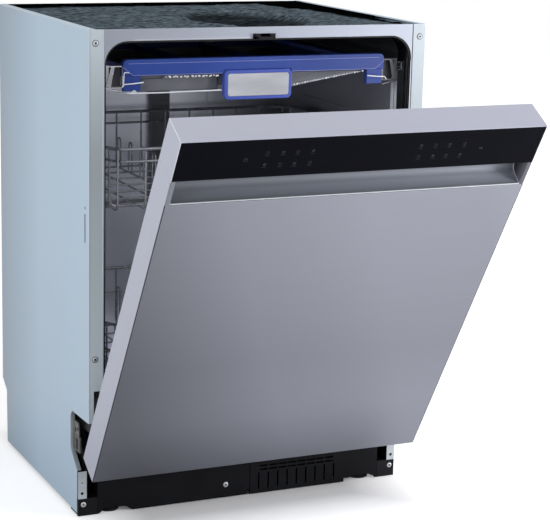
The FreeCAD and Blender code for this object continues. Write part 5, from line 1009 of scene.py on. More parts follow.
class DISHWASHER_OT_control_panel(PieceOperator, bpy.types.Operator):
    """Black glass with its printed signs, the board and the latch behind it"""
    bl_idname = "dishwasher.control_panel"
    bl_label = "Control Panel"

    def make(self):
        low, high = limits("control_fascia")
        bm = block(low, high, 0.5, 3)
        finish_piece("control_glass", bm, "door", "glass", ("control_fascia",))
        self.signs(low.y)
        self.board()
        self.latch()

    def signs(self, face):
        """Plain touch signs: rings and bars in four rows, one at either end."""
        bm = bmesh.new()
        print_rise = 0.06

        def bar(x0, x1, z0, z1, rise=print_rise):
            merged(bm, block((x0, face - rise, z0), (x1, face, z1)))

        def ring(x, z, size):
            line = [(size - 0.5, 0), (size - 0.5, print_rise), (size, print_rise), (size, 0)]
            merged(bm, turned(line, (x, face, z), (0, -1, 0), 20))

        left = (-159.5, -135, -112, -87.7)
        rows = ((791.5, left, 0), (769.5, left, 1), (791, (89, 113.5, 137.3, 163), 1),
                (770, (90.8, 115.2, 137.5, 161.5), 0))
        for z, places, odd in rows:
            for index, x in enumerate(places):
                if index % 2 == odd:
                    ring(x, z, 2.4)
                else:
                    for step in (-1.6, 0, 1.6):
                        bar(x - 2.4, x + 2.4, z + step - 0.3, z + step + 0.3)
                bar(x - 3.4, x + 3.4, z - 5.4, z - 4.9)
        x, z = -191.4, 779.8
        ring(x, z, 3.4)
        bar(x - 0.3, x + 0.3, z, z + 4, 0.07)
        x, z = 195.1, 780.5
        bar(x - 3.4, x - 2.6, z - 2, z + 2)
        arrow = [(x - 1, z - 2), (x + 2.4, z), (x - 1, z + 2)]
        merged(bm, prism(arrow, 1, face - print_rise, face))
        finish_piece("touch_signs", bm, "door", "icon")

    def board(self):
        """Circuit board with a row of parts on its rear face."""
        low, high = limits("control_board")
        bm = soft_mesh("control_board", 0.2)
        finish_piece("board_plate", bm, "door", "board", ("control_board",), merge=0.0)
        bm = bmesh.new()
        count, margin, latch_room = 14, 16, 34
        for index in range(count):
            x = low.x + margin + index * (high.x - low.x - 2 * margin) / (count - 1)
            if abs(x) > latch_room:
                rise = 3 + 5 * (index * 7 % 5) / 4
                wide = 5 + 6 * (index * 3 % 4) / 3
                merged(bm, block((x - wide, high.y, 768 + (index % 3) * 5),
                                 (x + wide, high.y + rise, 784), 0.5))
        finish_piece("board_parts", bm, "door", "black_plastic")

    def latch(self):
        """Latch box with two screw heads and a slot in its rear face."""
        low, high = limits("door_latch")
        front = high.y - 1.2
        bm = block(low, (high.x, front, high.z), 2, 3)
        head = [(0, 0), (3, 0), (3.6, 0.4), (3.6, 1.0), (1.6, 1.0), (1.4, 0.3), (0, 0.3)]
        for sign in SIGNS:
            merged(bm, turned(head, (sign * 24, front, high.z - 12), (0, 1, 0), 20))
        merged(bm, block((-14, front - 0.2, high.z - 14), (14, front + 1.1, high.z - 9), 0.5))
        finish_piece("latch_body", bm, "door", "black_plastic", ("door_latch",),
                     merge=0.0)


class DISHWASHER_OT_door_inside(PieceOperator, bpy.types.Operator):
    """Inner liner with pressed beads, the lower seal and the dispenser with its lid and cap"""
    bl_idname = "dishwasher.door_inside"
    bl_label = "Door Inside"

    def make(self):
        soft_copy("door_inner_liner", 0.45, "liner_steel")
        low, high = limits("door_inner_liner")
        bm = bmesh.new()
        back = high.y
        frame_in = 26
        x0, x1, z0, z1 = low.x + frame_in, high.x - frame_in, low.z + 30, high.z - 26
        for start, stop in (((x0, z0), (x1, z0)), ((x0, z1), (x1, z1)),
                            ((x0, z0), (x0, z1)), ((x1, z0), (x1, z1))):
            merged(bm, block((start[0] - 6, back - 0.02, start[1] - 6),
                             (stop[0] + 6, back + 1.4, stop[1] + 6), 1.2, 3))
        for z in (290, 340, 390, 590, 640, 680):
            merged(bm, block((x0 + 50, back - 0.02, z - 6), (x1 - 50, back + 1.2, z + 6), 1.1, 3))
        finish_piece("liner_beads", bm, "door", "liner_steel")
        self.seal()
        self.dispenser()

    def seal(self):
        """Rubber lip along the door's lower edge."""
        low, high = limits("door_bottom_seal")
        outline = [(low.y, low.z), (low.y, high.z), (high.y - 0.7, high.z), (high.y - 0.9, high.z - 3),
                   (high.y, high.z - 5), (high.y, low.z + 2), (high.y - 1.2, low.z)]
        bm = prism(outline, 0, low.x, high.x, 0.25, 2)
        finish_piece("seal_lip", bm, "door", "rubber", ("door_bottom_seal",))

    def dispenser(self):
        """Dispenser body, its ribbed sliding lid and the turned cap of the rinse aid."""
        soft_copy("detergent_dispenser", 0.8, "grey_plastic", 3)
        low, high = limits("dispenser_lid")
        bm = block(low, high, 0.8, 3)
        for step in range(5):
            z = low.z + 14 + step * 5
            merged(bm, block((low.x + 14, high.y - 0.1, z), (high.x - 14, high.y + 0.9, z + 2.2), 0.4))
        merged(bm, block((low.x + 8, high.y - 0.1, high.z - 26),
                         (high.x - 8, high.y + 1.6, high.z - 18), 0.7))
        finish_piece("dispenser_slide", bm, "dispenser_lid", "grey_plastic",
                     ("dispenser_lid",), merge=0.0)
        low, high = limits("rinse_aid_cap")
        x, z = (low.x + high.x) / 2, (low.z + high.z) / 2
        radius, deep = (high.x - low.x) / 2, high.y - low.y
        profile = [(0, 0), (11, 0), (11.4, 0.5), (11.4, deep - 6.4), (radius - 0.6, deep - 6.2),
                   (radius, deep - 5.6), (radius, deep - 3), (radius - 0.8, deep - 2.1), (9, deep - 2),
                   (8, deep - 2.8), (0, deep - 2.8)]
        bm = turned(profile, (x, low.y, z), (0, 1, 0), 40)
        merged(bm, block((x - 2, high.y - 3, z - radius + 3), (x + 2, high.y, z + radius - 3), 0.9, 3))
        finish_piece("rinse_cap_turned", bm, "rinse_aid_cap", "dark_plastic",
                     ("rinse_aid_cap",), merge=0.0)


class DISHWASHER_OT_tray(PieceOperator, bpy.types.Operator):
    """Cutlery tray with its rails, troughs, combs, blue bar and handle"""
    bl_idname = "dishwasher.tray"
    bl_label = "Cutlery Tray"

    def make(self):
        for node in ("tray_rails", "basket_rails"):
            soft_copy(node, 0.35, "rail_steel")
        soft_copy("cutlery_tray_frame", 1.2, "blue", 3)
        soft_copy("tray_troughs", 0.5, "trough_grey", 2)
        low, high = limits("tray_troughs")
        self.combs(low, high)
        self.teeth(low, high)
        self.bar()
        self.runners()
        self.loops()
        self.stops()

    def combs(self, low, high):
        """Rows of fingers along the left and the middle trough."""
        bm = bmesh.new()
        for y in range(int(low.y) + 20, int(high.y) - 10, 17):
            for row, foot, top in (((-180, -150, -120, -90), 2, 10), ((-45, -15, 15, 45), 9, 16)):
                for x in row:
                    merged(bm, block((x - 6, y, low.z + foot), (x + 6, y + 1.6, low.z + top), 0.5, 1))
        finish_piece("trough_combs", bm, "cutlery_tray", "trough_grey")

    def teeth(self, low, high):
        """Front walls of the troughs, with short bright wire ends along their edges."""
        bar_low, bar_high = limits("tray_front_bar")
        y = bar_high.y + 1.2
        base = low.z + 1
        top = bar_high.z - 27.5
        left = [(-203, base), (-66, base + 1), (-66, top), (-158, top), (-163, base + 20),
                (-197, base + 20)]
        right = [(66, base + 5), (190, high.z - 0.5), (66, high.z - 0.5)]
        bm = prism(left, 1, y, y + 2.2, 0.4, 1)
        merged(bm, prism(right, 1, y, y + 2.2, 0.4, 1))
        finish_piece("trough_fronts", bm, "cutlery_tray", "trough_front", merge=0.0)
        front = bar_low.y - 0.3
        rod = [(-223, front, 715.6), (-160, front, 715.4), (-66, front, 716.6)]
        paths = [(filleted(rod, 4), 1.15, False)]
        count = 27
        for index in range(count):
            x = -163 + index * 3.9 + 1.3 * math.sin(index * 2.4)
            if x > -70:
                break
            z = 740.4 + 0.7 * math.sin(index * 1.9)
            reach = 1.4 + 1.5 * abs(math.sin(index * 1.3))
            gauge = 0.85 + 0.7 * abs(math.sin(index * 0.9))
            paths.append(([(x, front, z), (x + reach, front, z + 0.25)], gauge, False))
        for index in range(count):
            part = index / (count - 1)
            x, z = 64 + 126 * part, base + 5.6 + (high.z - 6 - base) * part
            reach = 2.0 + 0.8 * math.sin(index * 2.2)
            gauge = 1.0 + 0.4 * math.sin(index * 1.7)
            paths.append(([(x, front, z), (x + reach, front, z + 0.9)], gauge, False))
        # The wire ends are drawn in the near-white highlight wire: painted highlight.
        finish_piece("trough_teeth", wires(paths, 1), "cutlery_tray", "bright_wire")

    def bar(self):
        """Blue front bar, its front face and the pale handle set into it."""
        bm = soft_mesh("tray_front_bar", 1.6, 4)
        handle_low, handle_high = limits("tray_handle")
        front = limits("tray_front_bar")[0].y
        rim = handle_high.x + 6
        for item in bm.faces:
            centre = item.calc_center_median()
            inside = abs(centre.x) < rim and centre.z < handle_high.z + 6.5
            item.material_index = 1 if inside and centre.y < front + 12 else 0
        finish_piece("blue_bar", bm, "cutlery_tray", ["blue_dark", "blue_light"],
                     ("tray_front_bar",), merge=0.0)
        self.face_plate(rim, handle_high.z)
        bm = prism([(handle_low.x, handle_low.z), (handle_high.x, handle_low.z),
                    (handle_high.x, handle_high.z), (handle_low.x, handle_high.z)], 1,
                   handle_low.y, handle_high.y, 3.9, 5, along(1))
        rim = [edge for edge in bm.edges if all(abs(v.co.y - handle_low.y) < 0.01 for v in edge.verts)]
        bevelled(bm, rim, 0.9, 3)
        finish_piece("handle_insert", bm, "cutlery_tray", "insert", ("tray_handle",))

    def face_plate(self, rim, handle_top):
        """Front face of the bar, cut back at its lower ends, with pale lines along its edges as painted highlight.
        """
        high = limits("tray_front_bar")[1]
        half, top = high.x, high.z
        bottom = top - 26
        ends = [(-half + 0.3, bottom + 14), (-half + 8, bottom + 7.5), (-half + 17, bottom + 0.6)]
        edge = handle_top + 6.2
        outline = [(-rim, bottom + 0.6), (-rim, edge), (rim, edge), (rim, bottom + 0.6)]
        outline += [(-x, z) for x, z in ends[::-1]]
        outline += [(half - 0.3, top - 7), (half - 2.4, top - 2.4), (half - 7, top - 0.3)]
        outline += [(7 - half, top - 0.3), (2.4 - half, top - 2.4), (0.3 - half, top - 7)]
        outline += ends
        start = 22.6
        bm = prism(outline, 1, start, start + 2.2, 0.9, 2)
        finish_piece("bar_face", bm, "cutlery_tray", "blue", merge=0.0)
        y = start + 0.2
        paths = []
        for sign in SIGNS:
            line = [(-sign * x, y, z) for x, z in ends] + [(sign * (rim + 1), y, bottom + 0.6)]
            paths.append((line, 0.45, False))
        paths.append(([(-half + 9, y, top - 6.5), (half - 9, y, top - 6.5)], 0.4, False))
        finish_piece("bar_lines", wires(paths, 1), "cutlery_tray", "blue_edge")

    def runners(self):
        """Folded brackets that close the runners, the left in rail steel and the right in dark grey, painted
        shade.
        """
        rail_front = limits("tray_rails")[0].y - 0.5
        strip = [(261.5, 726), (253.6, 724), (246.6, 758), (252.4, 758.4)]
        foot = [(262, 724), (262, 721.4), (233, 715.6), (233, 717.4)]
        plates = (((231.6, 26.5, 724), (234.4, 40, 757)), ((233, 27, 756.8), (255.4, 40, 759.2)),
                  ((234, 27, 722.6), (256, 36, 724.8)), ((256, 28.4, 722.7), (262, rail_front, 760)))
        for side, sign in SIDES:
            steel = prism([(sign * x, z) for x, z in strip], 1, 26.6, 28.6, 0.5, 2)
            for low, high in plates:
                merged(steel, side_block(sign, low[0], high[0], low[1:], high[1:], 0.6))
            merged(steel, prism([(sign * x, z) for x, z in foot], 1, 26.5, 30, 0.4, 2))
            # The right bracket is a darker copy in dark grey plastic: painted shade.
            finish_piece("runner_brackets_" + side, steel, "cutlery_tray",
                         "rail_steel" if sign < 0 else "duct_grey", merge=0.0)

    def loops(self):
        """Steel wire loops round the end tabs."""
        low, high = limits("tray_front_bar")
        end = high.x
        y = low.y - 0.5

        def across(sign):
            line = [(sign * (end + 3), y + 1, 726.2), (sign * (end - 0.6), y, 730.4),
                    (sign * (end - 14), y, 731.0), (sign * (end - 33), y, 732.8)]
            return filleted(line, 1.5), 1.05, False

        upright = filleted([(9 - end, y + 1, 748.4), (0.5 - end, y + 1, 749.4),
                            (-end - 0.5, y + 1, 731)], 2)
        under = filleted([(4 - end, y, 716.4), (12 - end, y, 715.4), (16.5 - end, y, 720.2),
                          (20.5 - end, y, 718.2), (17 - end, y, 715.5), (30 - end, y, 715.5)], 2.0)
        paths = [across(-1), (upright, 0.75, False), (under, 0.95, False), across(1)]
        # Drawn in the near-white highlight wire: painted highlight.
        finish_piece("bar_loops", wires(paths, 2), "cutlery_tray", "bright_wire")

    def stops(self):
        """Dark plates inside the runner brackets: painted shade."""
        bm = bmesh.new()
        for sign in SIGNS:
            merged(bm, side_block(sign, 235, 256, (34.4, 725.2), (35.7, 756.4), 0.3))
        finish_piece("runner_stops", bm, "cutlery_tray", "dark_plastic", merge=0.0)


def cage_paths(node, tine_height, floor):
    """Wires of a basket: rims, bent floor wires that rise into the sides, and looped tines."""
    low, high = limits(node)
    bend, corner = sizes().wire_bend * 1000, sizes().rim_bend * 1000
    half, tine_place, row_gap, wire_gap = 250.0, 100, 60, 48
    front, back = low.y + RIM_GAUGE, high.y - RIM_GAUGE
    rim = high.z - RIM_GAUGE
    second = rim - (20 if node == "upper_basket" else 45)
    paths = [(ring_path(half, front, back, rim, corner), RIM_GAUGE, True),
             (ring_path(half - 0.75, front + 0.75, back - 0.75, second, corner), 2.0, True)]
    side = half - RIM_GAUGE - WIRE_GAUGE
    depth = back - front
    under, top = floor - WIRE_GAUGE, floor + tine_height
    rows = max(1, round((depth - row_gap) / row_gap))
    for index in range(rows + 1):
        y = front + row_gap / 2 + (depth - row_gap) * index / rows
        points = [(-side, y, rim), (-side, y, under), (side, y, under), (side, y, rim)]
        paths.append((filleted(points, bend), WIRE_GAUGE, False))
        for sign in SIGNS:
            x = sign * tine_place
            loop = [(x, y - 9, under), (x, y - 7, top), (x, y + 7, top), (x, y + 9, under)]
            paths.append((filleted(loop, 6.5, 4), 1.5, False))
    first, last = front + RIM_GAUGE + WIRE_GAUGE, back - RIM_GAUGE - WIRE_GAUGE
    lowest = floor - 3 * WIRE_GAUGE
    wide = side - 5.5
    count = round(2 * wide / wire_gap)
    for index in range(count + 1):
        x = -wide + 2 * wide * index / count
        if abs(abs(x) - tine_place) < 3.2:
            x += math.copysign(4, x)
        points = [(x, first, rim), (x, first, lowest), (x, last, lowest), (x, last, rim)]
        paths.append((filleted(points, bend), WIRE_GAUGE, False))
    return paths


def axle(sign, y, z, reach):
    """Flanged axle that stands out from a basket's bracket."""
    profile = [(0, 0), (4.5, 0), (4.5, 1.2), (2.9, 1.4), (2.9, reach - 0.6), (2.3, reach), (0, reach)]
    return turned(profile, (sign * BRACKET_PLACE, y, z), (sign, 0, 0), 20)


class DISHWASHER_OT_upper_basket(PieceOperator, bpy.types.Operator):
    """Upper basket of bent wires with roller brackets, rollers, feed pipe and cup shelf"""
    bl_idname = "dishwasher.upper_basket"
    bl_label = "Upper Basket"

    def make(self):
        high = limits("upper_basket")[1]
        floor = max(limits("upper_feed_tube")[1].z + 4 * WIRE_GAUGE, high.z - RIM_GAUGE - 95)
        bm = wires(cage_paths("upper_basket", 52, floor), 2)
        finish_piece("upper_wires", bm, "upper_basket", "wire", ("upper_basket",),
                     merge=0.0)
        self.brackets(high.z)
        for place in ("front", "rear"):
            wheels("upper_rollers_" + place, 9.65, "white_plastic")
        soft_copy("upper_feed_tube", 0.8, "dark_plastic", 2, inner=False)
        soft_copy("cup_shelf", 0.7, "grey_plastic", 2)

    def brackets(self, top):
        """Plates with the rollers' axles, and the bearings of the cup shelf."""
        bm = bmesh.new()
        rollers = [limits("upper_rollers_" + place) for place in ("front", "rear")]
        y0, y1 = [(low.y + high.y) / 2 for low, high in rollers]
        z = (rollers[0][0].z + rollers[0][1].z) / 2
        outline = [(y0 - 15, z - 15), (y1 + 15, z - 15), (y1 + 15, top), (y0 - 15, top)]
        for sign in SIGNS:
            merged(bm, side_prism(outline, sign, BRACKET_PLACE, BRACKET_PLACE + 2.2, 7, 4, along(0)))
            for y in (y0, y1):
                merged(bm, axle(sign, y, z, rollers[0][1].x - BRACKET_PLACE))
        low, high = limits("cup_shelf")
        hinge_x, hinge_z = (low.x + high.x) / 2, low.z + 1.5
        for y in (low.y + 7.7, high.y - 7.7):
            merged(bm, block((-243.8, y - 4, hinge_z - 4), (hinge_x + 4, y + 4, hinge_z + 4), 1, 2))
        finish_piece("roller_brackets", bm, "upper_basket", "grey_plastic")


def wheels(node, radius, coat):
    """Pair of turned wheels with a rim, a dished web and a hub."""
    low, high = limits(node)
    y, z = (low.y + high.y) / 2, (low.z + high.z) / 2
    mesh = frame["nodes"][node].data
    inner = min(abs(v.co.x) for v in mesh.vertices) * 1000
    width = high.x - inner
    bore = 3.05
    profile = [(bore, 0), (bore + 2, 0), (bore + 2.1, 1), (radius - 2.4, 1.2), (radius - 2, 0.2),
               (radius - 0.6, 0), (radius, 0.6), (radius, width - 0.6), (radius - 0.6, width),
               (radius - 2, width - 0.2), (radius - 2.4, width - 1.2), (bore + 2.1, width - 1),
               (bore + 2, width), (bore, width), (bore, 0)]
    bm = bmesh.new()
    for sign in SIGNS:
        merged(bm, turned(profile, (sign * inner, y, z), (sign, 0, 0), 36))
    finish_piece(node + "_turned", bm, BODY_OF[node], coat, (node,))


class DISHWASHER_OT_lower_basket(PieceOperator, bpy.types.Operator):
    """Lower basket of bent wires with its wheel brackets and wheels"""
    bl_idname = "dishwasher.lower_basket"
    bl_label = "Lower Basket"

    def make(self):
        top = limits("lower_basket")[1].z
        bm = wires(cage_paths("lower_basket", 70, top - RIM_GAUGE - 100), 2)
        finish_piece("lower_wires", bm, "lower_basket", "wire", ("lower_basket",),
                     merge=0.0)
        bm = bmesh.new()
        for node in ("lower_wheels_front", "lower_wheels_rear"):
            low, high = limits(node)
            y, z = (low.y + high.y) / 2, (low.z + high.z) / 2
            outline = [(y - 8, z - 8), (y + 8, z - 8), (y + 6, top), (y - 6, top)]
            for sign in SIGNS:
                merged(bm, side_prism(outline, sign, BRACKET_PLACE, 255, 3, 4, along(0)))
                merged(bm, axle(sign, y, z, high.x - BRACKET_PLACE))
            wheels(node, 15.95, "grey_plastic")
        finish_piece("wheel_brackets", bm, "lower_basket", "grey_plastic")


class DISHWASHER_OT_spray_arms(PieceOperator, bpy.types.Operator):
    """Three spray arms with tapered blades and nozzles, and the ducts that feed them"""
    bl_idname = "dishwasher.spray_arms"
    bl_label = "Spray Arms"

    def make(self):
        for node, up in (("lower_spray_arm", 1), ("upper_spray_arm", 1), ("ceiling_spray_arm", -1)):
            self.arm(node, up)
        soft_copy("feed_pipe", 2.0, "duct_grey", 3)

    def arm(self, node, up):
        """Arm with raised nozzles on one face, by turns in front of and behind its middle."""
        low, high = limits(node)
        bm = soft_mesh(node, 1.6, 3)
        face = low.z + (10 if up > 0 else 3)
        nozzle = [(3.4, -0.4), (3.4, 0.5), (2.8, 1.1), (1.5, 1.1), (1.2, -0.3), (0, -0.3)]
        count = sizes().nozzles
        for sign in SIGNS:
            for index in range(count):
                x = sign * (34 + (high.x - 50) * index / (count - 1))
                offset = (high.y - low.y) * 0.22 * (1 if index % 2 else -1)
                merged(bm, turned(nozzle, (x, (low.y + high.y) / 2 + offset, face), (0, 0, up), 16))
        finish_piece(node + "_moulded", bm, BODY_OF[node], "grey_plastic", (node,),
                     merge=0.0)


class DISHWASHER_OT_water_parts(PieceOperator, bpy.types.Operator):
    """Sump, filter, pumps, valves, softener and air break"""
    bl_idname = "dishwasher.water_parts"
    bl_label = "Water Parts"

    def make(self):
        soft_copy("sump", 1.0, "dark_plastic", 2, inner=False)
        soft_copy("filter_plate", 0.3, "filter_steel")
        self.filter_cylinder()
        self.salt_cap()
        self.pump("circulation_pump", 0)
        self.pump("drain_pump", 1)
        self.threaded("inlet_valve", 13.2)
        self.socket()
        for node in ("water_softener", "air_break"):
            self.ribbed_tank(node)

    def ringed(self, node, width, segments, profile, count, radius, foot, steps):
        """Soft mesh of a node with small turned shapes in a ring round its upright axis."""
        low, high = limits(node)
        x, y = (low.x + high.x) / 2, (low.y + high.y) / 2
        bm = soft_mesh(node, width, segments)
        for index in range(count):
            angle = index * 2 * math.pi / count
            place = (x + radius * math.cos(angle), y + radius * math.sin(angle), foot)
            merged(bm, turned(profile, place, (0, 0, 1), steps))
        return bm

    def filter_cylinder(self):
        """Filter cup with bumps round its upper edge."""
        foot = limits("filter_cylinder")[1].z - 13
        bump = [(0, 0), (1.6, 0), (1.2, 0.8), (0, 0.9)]
        bm = self.ringed("filter_cylinder", 0.8, 2, bump, 16, 33, foot, 10)
        finish_piece("filter_cup", bm, "filter", "grey_plastic",
                     ("filter_cylinder",), merge=0.0)

    def salt_cap(self):
        """Screw cap with ribs round its wall."""
        low, high = limits("salt_cap")
        tall = high.z - low.z
        rib = [(0, 0), (1.3, 0), (1.3, tall - 4.5), (0.7, tall - 3.6), (0, tall - 3.4)]
        bm = self.ringed("salt_cap", 0.9, 3, rib, 24, 32.6, low.z + 0.6, 8)
        finish_piece("salt_cap_ribbed", bm, "salt_cap", "white_plastic",
                     ("salt_cap",), merge=0.0)

    def pump(self, node, axis):
        """Motor with cooling fins round its barrel."""
        low, high = limits(node)
        bm = soft_mesh(node, 1.2, 2)
        middle = (low + high) / 2
        if axis == 0:
            radius, start, end = 40.0, low.x + 14, high.x - 46
            middle.z, middle.y = low.z + radius, low.y + radius
            facing = (1, 0, 0)
        else:
            radius, start, end = 24.0, low.y + 10, low.y + 56
            middle.z = low.z + radius
            middle.x = high.x - radius
            facing = (0, 1, 0)
        crest = radius - 0.02
        fin = [(radius - 2, 0), (crest, 0.4), (crest, 2.2), (radius - 2, 2.6)]
        count = 7
        for index in range(count):
            place = middle.copy()
            place[axis] = start + (end - start) * index / count
            merged(bm, turned(fin, place, facing, 32))
        finish_piece(node + "_finned", bm, "cabinet", "dark_plastic", (node,),
                     merge=0.0)

    def threaded(self, node, radius):
        """Valve with thread turns round its spigot."""
        low, high = limits(node)
        bm = soft_mesh(node, 0.8, 2)
        middle = (low + high) / 2
        crest, root = radius - 0.02, radius - 1.2
        for index in range(7):
            place = (middle.x, high.y - 15.5 + index * 2, middle.z)
            merged(bm, turned([(root, 0), (crest, 0.5), (crest, 0.9), (root, 1.4)],
                              place, (0, 1, 0), 32))
        finish_piece(node + "_threaded", bm, "cabinet", "white_plastic", (node,),
                     merge=0.0)

    def socket(self):
        """Power inlet with its three pins."""
        low, high = limits("power_inlet")
        bm = soft_mesh("power_inlet", 0.8, 2)
        x, z = (low.x + high.x) / 2, (low.z + high.z) / 2
        for step in (-7, 0, 7):
            merged(bm, block((x + step - 1, low.y + 2, z - 3),
                             (x + step + 1, high.y - 3, z + 3), 0.3, 1))
        finish_piece("power_socket_pins", bm, "cabinet", "black_plastic",
                     ("power_inlet",), merge=0.0)

    def ribbed_tank(self, node):
        """Moulded tank with welded flange and stiffening ribs."""
        low, high = limits(node)
        bm = soft_mesh(node, 2.5, 3)
        middle = (low.z + high.z) / 2
        count = 5
        for index in range(count):
            y = low.y + 18 + (high.y - low.y - 36) * index / (count - 1)
            for start in (low.x, high.x - 1.4):
                merged(bm, block((start, y - 1.5, low.z + 10),
                                 (start + 1.4, y + 1.5, middle + 10), 0.6))
        finish_piece(node + "_moulded", bm, "cabinet", "white_plastic", (node,),
                     merge=0.0)


class DISHWASHER_OT_stage(PieceOperator, bpy.types.Operator):
    """Pale floor, white surroundings, soft lamps and the camera"""
    bl_idname = "dishwasher.stage"
    bl_label = "Stage"

    def make(self):
        self.floor()
        self.world()
        self.lamps()
        self.camera()
        bpy.context.scene.view_settings.view_transform = "Standard"

    def seen_only(self, tree, mirrored=None):
        """One for camera, glossy and transmission rays, and nought for the rest."""
        path = node_of(tree, "LightPath").outputs
        glossy = path["Is Glossy Ray"]
        if mirrored:
            glossy = maths(tree, "MULTIPLY", glossy, mirrored)
        seen = maths(tree, "MAXIMUM", path["Is Camera Ray"], glossy)
        return maths(tree, "MAXIMUM", seen, path["Is Transmission Ray"])

    def under_door(self, tree, place, axes):
        """Fades what the steel door mirrors of the floor, most near its left foot: painted shade in the door's
        reflection.
        """
        sideways = faded(tree, axes["X"], -0.5, 0.9, 0.25, 0.71)
        forwards = faded(tree, axes["Y"], -0.02, -0.40, 0.0, 0.22)
        far = faded(tree, measured(tree, place, "DISTANCE", (0.15, -0.25, 0)), 0.6, 1.1)
        return maths(tree, "MAXIMUM", maths(tree, "ADD", sideways, forwards), far)

    def dark_patch(self, tree, mirrored):
        """Floor darkened for glossy rays where the door mirrors it, painted shade in the door's reflection, and
        pale for all other rays.
        """
        glossy = node_of(tree, "LightPath").outputs["Is Glossy Ray"]
        part = maths(tree, "MULTIPLY", glossy, maths(tree, "SUBTRACT", 1.0, mirrored))
        return mixed(tree, part, (0.8, 0.8, 0.81, 1), (0.12, 0.12, 0.13, 1))

    def floor_fill(self, tree, place, axes):
        """White fill of the floor: none under the object, plain round it and full far away."""
        edges = []
        for axis, middle, reach in (("X", 0.0, 0.27), ("Y", 0.22, 0.30)):
            distance = maths(tree, "ABSOLUTE", maths(tree, "SUBTRACT", axes[axis], middle))
            edges.append(faded(tree, distance, reach - 0.08, reach + 0.04))
        away = faded(tree, measured(tree, place, "LENGTH"), 0.9, 3.0, 0.50, 0.75)
        return maths(tree, "MULTIPLY", maths(tree, "MAXIMUM", *edges), away)

    def floor(self):
        """Pale floor that holds soft shadows and shows white round the object."""
        bm = bmesh.new()
        bmesh.ops.create_grid(bm, x_segments=1, y_segments=1, size=6)
        bmesh.ops.translate(bm, vec=(0, 0, -0.0003), verts=bm.verts)
        mesh = bpy.data.meshes.new("floor")
        bm.to_mesh(mesh)
        bm.free()
        material = bpy.data.materials.new("pale_floor")
        material.use_nodes = True
        tree = material.node_tree
        shader = tree.nodes["Principled BSDF"]
        shader.inputs["Roughness"].default_value = 0.9
        shader.inputs["Specular IOR Level"].default_value = 0.1
        shader.inputs["Emission Color"].default_value = (1, 1, 1, 1)
        place = node_of(tree, "TexCoord").outputs["Object"]
        split = node_of(tree, "SeparateXYZ")
        tree.links.new(place, split.inputs[0])
        # The part of the floor that the door mirrors is dimmed for glossy rays: painted shade in its reflection.
        mirrored = self.under_door(tree, place, split.outputs)
        tree.links.new(self.dark_patch(tree, mirrored), shader.inputs["Base Color"])
        fill = self.floor_fill(tree, place, split.outputs)
        light = maths(tree, "MULTIPLY", self.seen_only(tree, mirrored), fill)
        tree.links.new(light, shader.inputs["Emission Strength"])
        mesh.materials.append(material)
        floor = bpy.data.objects.new("floor", mesh)
        bpy.context.scene.collection.objects.link(floor)

    def world(self):
        """White surroundings that light the object less than they show."""
        world = bpy.data.worlds.new("surroundings")
        world.use_nodes = True
        tree = world.node_tree
        background = tree.nodes["Background"]
        ambient = 0.42
        level = faded(tree, self.seen_only(tree), 0, 1, ambient)
        tree.links.new(level, background.inputs["Strength"])
        background.inputs["Color"].default_value = (1, 1, 1, 1)
        bpy.context.scene.world = world

    def lamps(self):
        """Soft boxes: two in front to the right, one at the left, one above."""
        for name, place, target, width, power, tint in (
                ("lamp_front", (1.8, -1.7, 1.6), (0, 0, 0.5), 1.3, 22, (1.0, 0.98, 1.0)),
                ("lamp_right", (1.5, -1.15, 0.5), (0.3, 0, 0.75), 0.5, 19, (0.98, 0.99, 1.0)),
                ("lamp_left", (-2.75, -1.4, 1.4), (0, 0, 0.4), 1.6, 36, (0.97, 0.99, 1.0)),
                ("lamp_above", (0.4, 0.4, 3.4), (0, 0, 0), 2.0, 14, (1.0, 0.99, 1.0))):
            data = bpy.data.lights.new(name, "AREA")
            data.shape = "SQUARE"
            data.size = width
            data.energy = power
            data.color = tint
            lamp = bpy.data.objects.new(name, data)
            lamp.location = place
            direction = Vector(target) - Vector(place)
            lamp.rotation_euler = direction.to_track_quat("-Z", "Y").to_euler()
            bpy.context.scene.collection.objects.link(lamp)

    def camera(self):
        """Camera from the front left, above the door."""
        data = bpy.data.cameras.new("camera")
        data.lens = 118.5
        data.sensor_width = 36
        data.sensor_fit = "HORIZONTAL"
        turn = Euler([math.radians(angle) for angle in (77.511, -1.323, -24.448)])
        camera = bpy.data.objects.new("camera", data)
        camera.matrix_world = (Matrix.Translation((-1.2103, -2.6889, 1.0857))
                               @ turn.to_matrix().to_4x4())
        bpy.context.scene.collection.objects.link(camera)
        bpy.context.scene.camera = camera


class DISHWASHER_PT_panel(bpy.types.Panel):
    """Sizes, colours and pieces of the dishwasher"""
    bl_idname = "DISHWASHER_PT_panel"
    bl_label = "Dishwasher"
    bl_space_type = "VIEW_3D"
    bl_region_type = "UI"
    bl_category = "Dishwasher"

    def draw(self, context):
        for group in (context.scene.dishwasher_sizes, context.scene.dishwasher_colours):
            column = self.layout.column(align=True)
            for name in group.__annotations__:
                column.prop(group, name)
        column = self.layout.column(align=True)
        for operator in OPERATORS:
            column.operator(operator.bl_idname)


OPERATORS = (
    DISHWASHER_OT_side_sheets, DISHWASHER_OT_tub, DISHWASHER_OT_insulation, DISHWASHER_OT_gasket,
    DISHWASHER_OT_base, DISHWASHER_OT_hinges, DISHWASHER_OT_screws, DISHWASHER_OT_door_shell,
    DISHWASHER_OT_grip, DISHWASHER_OT_control_panel, DISHWASHER_OT_door_inside, DISHWASHER_OT_tray,
    DISHWASHER_OT_upper_basket, DISHWASHER_OT_lower_basket, DISHWASHER_OT_spray_arms,
    DISHWASHER_OT_water_parts, DISHWASHER_OT_stage,
)
CLASSES = (DishwasherSizes, DishwasherColours, *OPERATORS, DISHWASHER_PT_panel)


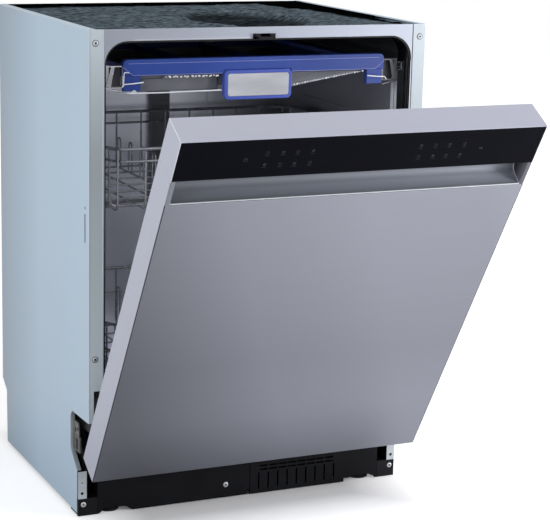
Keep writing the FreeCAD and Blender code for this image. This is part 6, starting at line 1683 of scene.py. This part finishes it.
def register():
    for item in CLASSES:
        bpy.utils.register_class(item)
    bpy.types.Scene.dishwasher_sizes = PointerProperty(type=DishwasherSizes)
    bpy.types.Scene.dishwasher_colours = PointerProperty(type=DishwasherColours)


def unregister():
    del bpy.types.Scene.dishwasher_colours
    del bpy.types.Scene.dishwasher_sizes
    for item in reversed(CLASSES):
        bpy.utils.unregister_class(item)


def main():
    register()
    for operator in OPERATORS:
        getattr(bpy.ops.dishwasher, operator.bl_idname.split(".")[1])()


if __name__ == "__main__":
    main()
